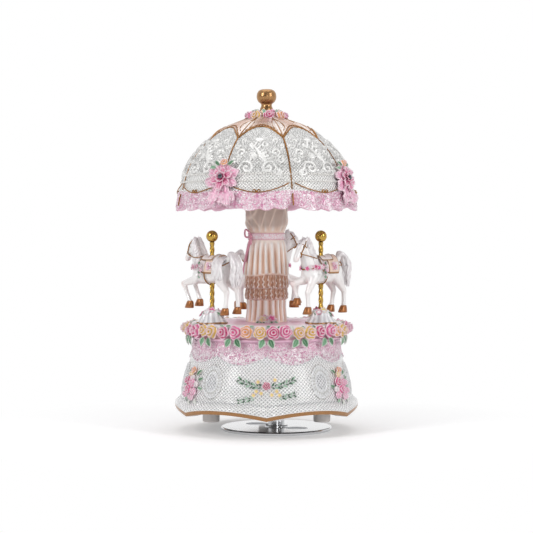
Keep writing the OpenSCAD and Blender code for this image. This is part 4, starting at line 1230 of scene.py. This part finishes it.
# one band of the canopy, from a height to another; the bands share their edge
def canopySurface(lo, hi, rows):
    cols, panels = canopySpec["cols"], canopySpec["panels"]
    line, s = profile(canopySpec["outline"], 600)
    span = np.linspace(*np.interp((lo, hi), line[:, 1], s), rows)
    r, z0, sr, sz = (np.interp(span, s, part)[:, None] for part in (*line.T, *heading(line).T))
    deg = ring(cols, canopySpec["rib"])
    turn = panelTurn(deg)
    z = z0 + hemLine(turn) * step(126, 117.5, z0) + hemRise(deg) * step(123, 118.9, z0)
    x = r * (turn[:, :cols // panels] * math.radians(panelAngle))
    y = (span - np.interp(130.0, line[:, 1], s))[:, None]
    scroll = np.tile(scrollHeight(x, y + 0 * x), (1, panels))
    top, arch = frillLine(turn), archLine(turn)
    frill = step(top + 0.2, top - 0.2, z)
    crown = step(arch - 0.2, arch + 0.2, z)
    field = (1 - frill) * (1 - crown)
    curls = laceField(deg, z, 124)
    groove = hump(np.abs(turn) - 0.5, 0.012)
    low = step(128, 120.5, z)
    upper = step(138.2, 140.5, z)  # 1 above the bead rows
    filler = laceCurls(deg / 360 * 136, y / 2.1, 136) * field * upper * (1 - step(0.0, 0.15, scroll))
    out = swell(turn, z) + field * (1.05 * scroll) + 0.4 * filler - 0.35 * groove * field
    out += frill * (0.2 + 0.35 * curls + low * hemOut(deg))
    out += crown * (0.15 + 0.2 * np.cos(np.radians(deg) * 96)) * step(168, 164, z)
    # painted shade: grey bands round the bead rows, grey between the filler curls and on the flanks of the
    # scrolls; painted highlight: the scroll tops painted pale
    bands = sum(hump(z - height, 0.8) for height in canopySpec["beadRows"])
    tone = mix(linear("#FBFAF8"), linear("#ECEBEA"), step(136, 141, z))
    tone = mix(tone, linear("#ABAAA8"), 0.2 * bands)
    tone = mix(tone, linear("#B7B6B3"), 0.9 * upper * step(0.5, 0.1, filler))
    tone = mix(tone, linear("#989692"), 0.85 * step(0.02, 0.2, scroll) * step(0.8, 0.35, scroll))
    tone = mix(tone, linear("#F6F5F3"), step(0.45, 0.85, scroll))
    puff = hemPuff(deg)
    lace = mix(hemPink, palePink, step(0.15, 0.6, curls))
    # painted highlight on the frill's puffs, painted shade between them and in the pinched creases at the
    # ribs
    lace = mix(lace, palePink, 0.35 * low * step(-0.2, 0.9, puff))
    lace = mix(lace, linear("#D98BB2"), low * (0.3 * step(0.1, -0.8, puff) + 0.5 * hemPinch(turn)))
    tone = mix(tone, lace, frill)
    tone = mix(tone, mix(linear("#BE9D8C"), linear("#EADFD9"), step(0.1, 0.5, np.abs(turn))), crown)
    net = field * (0.45 + 0.55 * step(148, 138, z)) * (1 - step(0.0, 0.2, scroll))
    shape = grid(around(deg, r + out * sz, z - out * sr))
    return painted(shape, tone, net=net.reshape(-1), lace=(frill * step(118.2, 121, z)).reshape(-1),
                   uv=netCells(canopySpec, rows, span[-1] - span[0]))


# lining and hub, plain pink-washed resin
def canopyLining():
    deg = ring(canopySpec["cols"], canopySpec["rib"])
    line = np.array(canopySpec["lining"])
    r, z0 = line[:, :1], line[:, 1:]
    z = z0 + hemLine(panelTurn(deg)) * step(126, 118.5, z0) + hemRise(deg) * step(121, 118.9, z0)
    shape = grid(around(deg, r + hemOut(deg) * step(124, 119, z0), z))
    return painted(shape, mix(hemPink, white, step(119.5, 126, z)))


# points on the canopy, raised by out
def canopyLine(deg, z, out):
    z = np.asarray(z, float)
    up = (canopyAt(z - 0.4) - canopyAt(z + 0.4)) / 0.8
    out = (out + swell(panelTurn(np.asarray(deg, float)), z)) / np.hypot(1, up)
    return around(deg, canopyAt(z) + out, z + out * up)


def makeCanopyGold():
    ropes, beads = [], []
    knotLoop = ((0.3, 0.1), (1.4, 1.2), (2.2, 0.5), (1.3, -0.3), (0.3, 0.1))
    t = np.linspace(-0.5, 0.5, 61)
    fall = np.linspace(-0.46, 0.46, 49)
    zs, rise = np.linspace(129.5, 156.6, 36), np.linspace(156.6, 168.0, 20)
    low = np.linspace(121.0, 127.0, 12)
    lean = np.linspace(1.5, 14.0, 20) * (1 - np.linspace(0, 1, 20)) * 2.2

    def rope(deg, z, out, radius, sides=8):
        ropes.append(tube(canopyLine(deg + 0 * z, z, out), radius, sides))

    for k in range(canopySpec["panels"]):
        rib = canopySpec["rib"] + panelAngle * k
        mid = rib + panelAngle / 2
        rope(rib, zs, 0.25, 0.27 + 0.2 * step(140, 154, zs))
        rope(mid + panelAngle * t * 0.995, archLine(t), 0.3, 0.42)
        rope(mid + panelAngle * t * 0.97, archLine(t) + 1.1, 0.3, 0.3 + 0.1 * np.cos(t * 150))
        rope(rib, rise, 0.1, 0.32)
        for side in (-1, 1):
            rope(rib + side * lean, np.linspace(160.2, 167.4, 20), 0.1, 0.26, 6)
        rope(mid + panelAngle * fall, swagLine(fall), 0.75, 0.28)
        for side in (-1, 1):
            knot = [canopyLine(mid + side * d, 127.6 + h, 0.9) for d, h in knotLoop]
            ropes.append(tube(smoothPath(knot, 18), 0.28, 6))
        ropes.append(ball(canopyLine(mid, 127.7, 0.9), 0.62))
        if k % 2 == 0:
            rope(rib, low, 0.7, 0.4)
    piece("canopy_gold", merge(ropes), gold)
    count = canopySpec["beads"]
    for z in canopySpec["beadRows"]:
        for k in range(canopySpec["panels"] * count):
            deg = canopySpec["rib"] + panelAngle * (k // count + (k % count + 0.5) / count)
            beads.append((canopyLine(deg, z, 0.1), around(deg, 1.0, 0.3), 0, 0.62, whiteTint))
    scatter("canopy_beads", beadItem, beads, leafPaint)


foot, seam, top = (canopySpec[key] for key in ("foot", "seam", "top"))
piece("canopy_panels", canopySurface(seam, top, 132), canopyResin, nodes=("canopy",))
piece("canopy_frill", canopySurface(foot, seam, 56), canopyResin)
piece("canopy_lining", canopyLining(), mixedResin)
makeCanopyGold()
print("canopy done")


# Flower bows with a stone, on four ribs

bowSpec = {
    "first": -28.6, "count": 4, "radius": 46.6, "height": 135.0, "stone": 1.45,
    "rings": ((8, 1.2, 0.6, 4.0, 0.35, "#EE9CC2"), (6, 0.8, 1.5, 2.8, 0.1, "#D8568F")),
    "tails": ((-2.4, -5.2, 160, 4.2), (2.2, -5.4, 196, 4.6), (4.2, -6.6, 215, 3.2), (-0.2, -6.4, 182, 3.4)),
    "leaves": ((-2.4, 6.6, 50, greenTint), (2.6, 6.6, -50, greenTint), (-4.2, 5.4, 85, paleGreen)),
    "ribbon": ((1.0, -3, 0.4), (3.2, -7, 0.8), (4.4, -11, 0.2), (4.0, -14, 0.6)),
}
# across a ribbon: place, height and paleness, on top and then underneath
ribbonEdge = ((-1, 0, 1), (-0.4, 0, 0.2), (0.4, 0, 0.7), (1, 0, 1),
              (1, -0.5, 1), (0.4, -0.5, 0.7), (-0.4, -0.5, 0.2), (-1, -0.5, 1))


def gemShape(centre, face, side, radius):
    up = np.cross(face, side)
    rings = []
    for r, h, turn in ((1.0, 0.0, 0.0), (1.0, 0.12, 0.0), (0.72, 0.42, 0.5), (0.42, 0.58, 0.0)):
        a = (np.arange(10)[:, None] + turn) / 10 * tau
        rings.append(centre + radius * (r * (np.cos(a) * side + np.sin(a) * up) + h * face))
    return grid(np.array(rings), caps=True)


def makeBows():
    petals, hearts, leaves, buds, gems, ribbons = [], [], [], [], [], []
    for k in range(bowSpec["count"]):
        mid = bowSpec["first"] + 90 * k
        face = unit(around(mid, 1.0, 0.25))
        side = around(mid + 90, 1.0, 0.0)
        up = np.cross(side, face)
        up = up if up[2] > 0 else -up
        heart = around(mid, bowSpec["radius"], bowSpec["height"])

        def spot(x, y, d):
            return heart + x * side + y * up + d * face

        hearts.append((spot(0, 0, 2.4), face, 45 + 20 * k, 3.0, pinkTint))
        for count, far, deep, big, tilt, tint in bowSpec["rings"]:
            for j in range(count):
                a = tau * (j + 0.3 * k) / count + 0.35
                c, s = math.cos(a), math.sin(a)
                petals.append((spot(far * c, far * s, deep), face + tilt * (c * side + s * up),
                               math.degrees(a) - 90, big * (1 + 0.16 * math.sin(5 * j + k)), linear(tint)))
        for x, y, roll, big in bowSpec["tails"]:
            petals.append((spot(x, y, 0.3), face - 0.2 * up, roll, big, linear("#F2B5D0")))
        for x, y, roll, tint in bowSpec["leaves"]:
            leaves.append((spot(x, y, 1.0), face, roll, 2.1, tint))
        buds.append((spot(0.2, 8.0, 1.0), face + 0.4 * up, 30, 2.3, orangeTint))
        for sx in (-1, 1):
            line = smoothPath([spot(sx * x, y, d) for x, y, d in bowSpec["ribbon"]], 30)
            wide = np.interp(np.arange(30), [0, 12, 29], [0.9, 1.5, 1.9])
            strip = []
            for j, w in enumerate(wide):
                curl = 0.2 * math.sin(j * 0.5)
                strip.append([line[j] + side * w * u + face * (0.5 * (1 - u * u) + curl * u + back)
                              for u, back, _ in ribbonEdge])
            ribbons.append(grid(np.array(strip)))
        gems.append(gemShape(spot(0, 0.2, 3.5), face, side, bowSpec["stone"]))
    scatter("bow_petals", petalItem, petals, petalPaint, ("canopy_bows",))
    scatter("bow_hearts", ruffleItem, hearts, petalPaint)
    scatter("bow_leaves", leafItem, leaves, leafPaint)
    scatter("bow_buds", roseItem, buds, petalPaint)
    tails = merge(ribbons)
    count = len(tails["points"])
    pale = np.tile([p for _, _, p in ribbonEdge], count // len(ribbonEdge))
    pale = pale * (0.75 + 0.25 * np.sin(np.arange(count) / 11))
    tone = mix(linear("#E07FAD"), palePink, 0.85 * pale)
    piece("bow_tails", painted(tails, tone), mixedResin)
    gem = piece("cut_stones", merge(gems), stone, nodes=("rhinestones",))
    setSmooth(gem.data, False)


# Wreath of roses and the finial above it
def makeCrown():
    finialSpec = [(0.2, 170.6), (3.4, 170.8), (3.7, 172.4), (3.5, 173.4), (3.0, 174.4), (2.8, 175.3),
                  (3.1, 176.0), (4.3, 176.8), (5.1, 178.2), (5.35, 179.8), (5.1, 181.6), (4.2, 183.0),
                  (2.7, 183.75), (1.4, 183.6), (0.5, 183.2), (0.1, 183.1)]
    roses, leaves = [], []

    def put(spots, deg, radius, z, rise, *look):
        spots.append((around(deg, radius, z), around(deg, 1.0, rise), *look))

    for i in range(8):
        d = 45 * i + 8
        put(roses, d, 8.5, 168.9, 0.35, 60 * i, 3.3, (pinkTint, orangeTint, rosePink, yellowTint)[i % 4])
        put(roses, d + 22, 5.8, 170.8, 0.8, 40 * i, 2.1, (rosePink, creamTint)[i % 2])
        put(leaves, d + 16, 10.6, 167.6, 0.6, 165 + 20 * (i % 3), 2.5, greenTint)
        put(leaves, d - 14, 8.6, 170.0, 0.6, 20 - 40 * (i % 2), 1.9, paleGreen)
    scatter("wreath_bloom", roseItem, roses, petalPaint, ("wreath_roses",))
    scatter("wreath_leaf", leafItem, leaves, leafPaint, ("wreath_leaves",))
    line, _ = profile(finialSpec, 120)
    shape = grid(around(ring(96), line[:, :1], line[:, 1:]))
    piece("gold_finial", shape, finialGold, nodes=("finial",))


makeBows()
makeCrown()
print("bows and crown done")


# Horses: blended limbs, then mane, tail, tack and flowers

# one smooth skin over rows of balls; each limb is (end, end, radius, radius)
def blendShape(limbs, voxel, rounds):
    spheres = []
    for p, q, r0, r1 in limbs:
        p, q = np.array(p, float), np.array(q, float)
        count = max(2, int(np.linalg.norm(q - p) / (0.35 * min(r0, r1))) + 1)
        for t in np.linspace(0, 1, count):
            spheres.append(ball(p + (q - p) * t, r0 + (r1 - r0) * t, rows=9, cols=12))
    lump = merge(spheres)
    mesh = bpy.data.meshes.new("lump")
    mesh.from_pydata(lump["points"].tolist(), [], lump["faces"])
    obj = link("lump", mesh)
    skin = obj.modifiers.new("skin", "REMESH")
    skin.mode = "VOXEL"
    skin.voxel_size = voxel
    soften = obj.modifiers.new("soften", "SMOOTH")
    soften.factor = 0.5
    soften.iterations = rounds
    solid = evaluated(obj)
    points = np.empty(len(solid.vertices) * 3)
    solid.vertices.foreach_get("co", points)
    faces = [list(p.vertices) for p in solid.polygons]
    bpy.data.objects.remove(obj)
    bpy.data.meshes.remove(mesh)
    bpy.data.meshes.remove(solid)
    return {"points": points.reshape(-1, 3), "faces": faces}


# x points ahead and z up from the saddle; each leg is (knee x, knee z, foot x, foot z)
horseSpecs = (
    {"angle": -60, "yaw": 15, "lift": 0.0, "cape": True,
     "fore": ((18.6, -6.6, 13.6, -16.4), (17.6, -5.6, 12.8, -15.6)),
     "hind": ((-14.6, -10.4, -13.6, -19.4), (-16.0, -9.6, -16.4, -18.8))},
    {"angle": 60, "yaw": -15, "lift": 0.0, "cape": False,
     "fore": ((13.4, -10.8, 13.0, -18.8), (17.8, -6.0, 14.6, -14.2)),
     "hind": ((-14.6, -10.4, -14.4, -18.8), (-13.4, -10.4, -11.6, -18.6))},
    {"angle": 180, "yaw": 0, "lift": 3.6, "cape": False,
     "fore": ((17.8, -6.4, 16.2, -16.0), (15.6, -8.6, 14.6, -18.2)),
     "hind": ((-15.4, -10.0, -16.2, -18.8), (-14.2, -10.4, -13.6, -19.2))},
)
saddleHeight = 86.0
legSpread = 3.2


# the same limb to the left and to the right
def bothSides(p, q, r0, r1):
    return [((p[0], s * p[1], p[2]), (q[0], s * q[1], q[2]), r0, r1) for s in (1, -1)]


# hip, knee, middle of the shin and foot of a leg
def legPoints(hipX, hipZ, y, leg):
    kx, kz, fx, fz = leg
    return (hipX, y, hipZ), (kx, y, kz), ((kx + fx) / 2, y, (kz + fz) / 2), (fx, y, fz)


def horseBody(spec):
    up = spec["lift"]
    throat = (11.4, 0, 9.6 + 0.6 * up)
    limbs = [((7.4, 0, 0.4), (-7.2, 0, 0.8), 5.4, 5.6), ((7.6, 0, 2.2), (-7.4, 0, 2.6), 4.6, 4.7),
             ((7.0, 0, -1.8), (-6.0, 0, -1.2), 4.9, 4.6),
             *bothSides((8.2, 1.4, -1.4), (8.8, 0.8, 3.4), 3.9, 3.7),
             *bothSides((-8.4, 2.2, 0.6), (-9.4, 1.4, 2.6), 4.2, 3.4),
             ((8.6, 0, 3.6), throat, 4.6, 3.6), (throat, (13.0, 0, 13.6 + up), 3.6, 2.7),
             ((13.2, 0, 14.6 + up), (15.4, 0, 12.8 + up), 2.75, 2.5),
             ((15.4, 0, 12.8 + up), (18.8, 0, 7.6 + up), 2.3, 1.55),
             *bothSides((14.2, 0.7, 12.6 + up), (15.4, 0.6, 10.8 + up), 2.0, 1.7),
             *bothSides((18.4, 0.35, 7.8 + up), (19.0, 0.35, 6.6 + up), 1.45, 1.3),
             ((-11.6, 0, 5.0), (-13.6, 0, 7.4), 1.9, 1.6),
             *bothSides((12.6, -1.35, 16.6 + up), (12.2, -1.75, 18.9 + up), 0.75, 0.3)]
    for s, leg in zip((1, -1), spec["fore"]):
        hip, knee, shin, foot = legPoints(9.6, -4.2, legSpread * s, leg)
        limbs += [((7.8, 2.6 * s, -2.6), hip, 3.3, 2.6), (hip, knee, 2.5, 1.5),
                  (knee, np.add(knee, (0.1, 0, -0.3)), 1.6, 1.5), (knee, shin, 1.4, 1.05),
                  (shin, foot, 1.05, 1.25)]
    for s, leg in zip((1, -1), spec["hind"]):
        hip, knee, shin, foot = legPoints(-10.4, -5.2, legSpread * s, leg)
        limbs += [((-8.6, 2.4 * s, -1.6), hip, 3.9, 2.9), (hip, knee, 2.7, 1.5), (knee, shin, 1.5, 1.15),
                  (shin, foot, 1.15, 1.3)]
    shape = blendShape(limbs, 0.36, 5)
    x, y, z = shape["points"].T
    base, pink, shade = (linear(h) for h in ("#FAF8F7", "#F0D6D0", "#DCC9C2"))
    # painted shade: pinker low on the body and at the tops of the legs, darker along the underside of the
    # belly
    tone = mix(base, pink, 0.15 * step(-1.0, -6.5, z) * step(-15, -9, z))
    tone = mix(tone, shade, 0.25 * step(2.0, 0.4, np.abs(y)) * step(-1, -5, z))
    tone = mix(tone, pink, 0.5 * hump(x - 19.0, 1.4) * step(9 + up, 7 + up, z))
    return painted(shape, tone)


def hoof(x, y, z):
    a = turns(18)[0]
    rings = []
    for r, h, ahead in ((1.3, 0.7, 0.0), (1.65, 0.0, 0.1), (1.95, -1.4, 0.45), (2.2, -2.9, 0.75),
                        (2.0, -3.2, 0.75)):
        rings.append(stack(x + ahead + 1.3 * r * np.cos(a), y + 0.95 * r * np.sin(a), z + h))
    return grid(np.array(rings), caps=True)


# a lock of hair, its radius given at a few of its points
def lock(path, count, at, radii, sides=7):
    return tube(smoothPath(path, count), np.interp(np.arange(count), at, radii), sides)


def horseHair(spec):
    up = spec["lift"]
    strands = []
    for k in range(20):  # mane
        t = k / 19
        root = np.array([11.8 - 4.6 * t, 0, 16.8 + up - (9.8 + 0.8 * up) * t])
        fall = 6.0 + 1.8 * math.sin(3 * t * math.pi)
        bend = [0.8 * math.sin(2.3 * k + 2.1 * j) for j in range(4)]
        path = [(0.4, 0.2, 0.4), (-0.4, 1.6, 0.8), (-0.3 + bend[0], 2.8 + 0.7 * t, -0.25 * fall),
                (0.2 + bend[1], 3.2 + 1.0 * t, -0.5 * fall), (-0.2 + bend[2], 3.1 + 1.3 * t, -0.75 * fall),
                (bend[3], 3.2 + 1.5 * t, -fall)]
        for s in (-1, 1):
            strands.append(lock(root + np.array(path) * (1, s, 1), 20,
                                [0, 6, 15, 19], [0.6, 0.95, 0.75, 0.15]))
    for k in range(5):  # forelock
        y = -1.0 + 0.5 * k
        path = [(12.8, y * 0.4, 17.0 + up), (14.6, y, 16.6 + up), (15.9, y * 1.3, 15.0 + up),
                (16.4, y * 1.1, 13.2 + up)]
        strands.append(lock(path, 12, [0, 4, 11], [0.4, 0.6, 0.12], 6))
    for k in range(34):  # tail
        w, d = math.cos(k * 2.4) * (0.5 + 0.5 * (k % 3) / 2), math.sin(k * 2.4)
        bend = [0.75 * math.sin(1.9 * k + 2.2 * j) for j in range(5)]
        path = [(-12.6, 0.5 * w, 6.6), (-14.6 + 0.6 * d, 1.3 * w, 9.4 + 0.7 * d),
                (-17.4 + 0.9 * d, 2.3 * w, 7.6 + 0.7 * d), (-18.7 + 1.1 * d + bend[0], 3.0 * w, 4.2),
                (-18.9 + 1.3 * d + bend[1], 3.3 * w, 1.0),
                (-18.5 + 1.4 * d + bend[2], 3.4 * w, -2.0), (-18.3 + 1.5 * d + bend[3], 3.2 * w, -4.8),
                (-18.6 + 1.2 * d + bend[4], 2.8 * w, -7.2 - 1.2 * w)]
        strands.append(lock(path, 30, [0, 6, 20, 29], [0.6, 0.95, 0.85, 0.15]))
    for k in range(30 if spec["cape"] else 0):  # ruffles over the rump
        t, s, sway = (k // 2) / 14, 1 if k % 2 else -1, 0.7 * math.sin(2.6 * k)
        path = [(-6.0 - 5.6 * t, 0.4 * s, 8.7 - 1.3 * t), (-6.6 - 5.6 * t, 3.6 * s, 7.4 - 1.2 * t),
                (-7.0 - 5.8 * t + sway, 5.7 * s, 4.4), (-7.4 - 6.0 * t - sway, 6.6 * s, 1.6),
                (-7.8 - 6.2 * t + sway, 6.7 * s, -1.0), (-8.2 - 6.4 * t, 6.9 * s, -3.4 - sway)]
        strands.append(lock(path, 24, [0, 8, 19, 23], [0.5, 0.7, 0.85, 0.35]))
    hair = merge(strands)
    x, y, z = hair["points"].T
    streaks = 0.6 * (0.5 + 0.5 * np.sin(y * 5 + x * 2 + z))
    return painted(hair, mix(linear("#FAF8F8"), linear("#DCD2D5"), streaks))


# a cloth shape cast on the horse's back, from one x to another and down both sides
def backShell(x0, x1, drop, rise, tone, wave, trim):
    rows, cols = 40, 70
    middle, thin = 0.7, 0.93  # height of the barrel's axis, and how far in the underside lies
    u = np.linspace(0, 1, rows)[:, None]
    v = np.linspace(-1, 1, cols)[None, :]
    x = (x0 + (x1 - x0) * u) * (1.0 - 0.16 * np.abs(v) ** 2)
    phi = v * math.radians(drop) * (1 - wave * np.cos(u * tau * 1.5) * 0.08)
    lift = 0.9 * step(0.75, 1.0, u) + 0.6 * step(0.2, 0.0, u)
    y = (5.55 + rise) * np.sin(phi)
    z = (6.9 + rise) * np.cos(phi) + lift * np.cos(phi) ** 3
    gild = step(1 - trim - 0.02, 1 - trim + 0.02, np.maximum(np.abs(2 * u - 1), np.abs(v)))
    top = grid(stack(x, y, middle + z), closed=False)
    under = grid(stack(x, y * thin, middle + z * thin), closed=False)
    both = merge([painted(top, mix(tone, goldTint, gild), 0.85 * gild), painted(under, tone)])
    rim = [r * cols for r in range(rows)] + [(rows - 1) * cols + c for c in range(1, cols)]
    rim += [r * cols + cols - 1 for r in range(rows - 2, -1, -1)] + [c for c in range(cols - 2, 0, -1)]
    below = rows * cols
    both["faces"] += [[a, b, below + b, below + a] for a, b in zip(rim, rim[1:] + rim[:1])]
    return both


def horseTack(spec):
    up = spec["lift"]
    straps = (
        (0.3, (13.3, 1.9, 16.4 + up), (15.0, 2.7, 14.0 + up), (17.0, 2.0, 9.8 + up)),
        (0.3, (16.9, 0, 11.9 + up), (17.4, 1.4, 10.8 + up), (16.9, 1.95, 9.4 + up), (16.0, 1.2, 8.3 + up),
         (15.6, 0, 8.0 + up)),
        (0.26, (16.4, 0, 15.1 + up), (15.4, 2.1, 14.4 + up), (13.6, 2.8, 12.8 + up)),
        (0.24, (17.2, 2.0, 9.6 + up), (13.2, 3.9, 8.6 + 0.6 * up), (8.0, 4.6, 7.4), (4.0, 2.2, 8.4)),
        (0.34, (13.2, 0, 1.4), (11.4, 3.4, 1.8), (7.6, 5.4, 2.4), (3.4, 5.7, 2.8)),
        (0.34, (0.6, 5.6, 0.2), (0.6, 4.9, -3.6), (0.6, 2.6, -6.1), (0.6, 0, -6.9)),
        (0.3, (-8.0, 5.2, 3.4), (-11.6, 4.3, 3.4), (-13.2, 2.0, 4.6), (-13.6, 0, 5.4)),
    )
    return merge([tube(smoothPath(np.array(path) * (1, s, 1), 26), r)
                  for s in (-1, 1) for r, *path in straps])


def horseFlowers(matrix):
    out = []
    m = np.array(matrix)
    blush = linear("#F3C6D6")

    def add(p, n, big, tint, k):
        out.append((m[:3, :3] @ np.array(p) + m[:3, 3], m[:3, :3] @ np.array(n), 63 * k, big, tint))

    for s in (-1, 1):
        for k in range(9):
            t = k / 8
            p = (12.8 - 9.6 * t, s * (2.4 + 3.6 * min(1, 2 * t)), 2.0 + 0.9 * t + 0.5 * (k % 2))
            add(p, (1 - t, s * (0.5 + t), 0.1), 1.35, (rosePink, whiteTint, blush, pinkTint)[k % 4], k)
        for k in range(6):
            p = (-3.2 - 1.1 * (k % 3), s * 6.1, 4.2 - 1.7 * (k // 3) - 0.5 * (k % 2))
            add(p, (0, s, 0.3), 1.3, (blush, rosePink, whiteTint)[k % 3], k)
        for k in range(7):
            p = (3.2 - 1.1 * (k % 2), s * 6.2, 4.6 - 1.2 * k)
            add(p, (0, s, 0.2), 1.25, (greenTint, whiteTint, paleGreen, blush)[k % 4], k)
    return out


def makeHorses():
    cream, peach, rosy = (linear(h) for h in ("#F7EFEC", "#F6DCC9", "#F8EDEE"))
    flowers, eyes = [], []
    for k, spec in enumerate(horseSpecs):
        turn = Matrix.Rotation(math.radians(spec["angle"] + 180 + spec["yaw"]), 4, "Z")
        matrix = Matrix.Translation(Vector(around(spec["angle"], poleRing, saddleHeight))) @ turn
        name = "horse_%d" % (k + 1)
        piece(name + "_body", place(horseBody(spec), matrix), horseResin, nodes=(name,))
        piece(name + "_hair", place(horseHair(spec), matrix), horseResin)
        hooves = [hoof(leg[2] + 0.1, legSpread * side, leg[3])
                  for side, leg in zip((1, -1, 1, -1), spec["fore"] + spec["hind"])]
        copper = painted(merge(hooves), linear("#A66B3E"), 0.75)
        piece(name + "_hooves", place(copper, matrix), horseResin)
        cloth = merge([backShell(5.2, -9.2, 98, 0.25, rosy, 0.6, 0.07),
                       backShell(-0.2, -8.6, 102, 0.75, peach, 0.0, 0.07),
                       backShell(4.4, -5.6, 46, 1.05, cream, 0.0, 0.1)])
        piece(name + "_saddle", place(cloth, matrix), horseResin)
        piece(name + "_tack", place(horseTack(spec), matrix), gold)
        flowers += horseFlowers(matrix)
        for s in (-1, 1):
            eyes.append(place(ball((15.5, 2.15 * s, 13.3 + spec["lift"]), 0.55, (1, 0.6, 0.9)), matrix))
    scatter("horse_flowers", blossomItem, flowers, petalPaint)
    piece("horse_eyes", merge(eyes), eye)


makeHorses()
print("horses done")

for obj in items:
    bpy.data.objects.remove(obj)
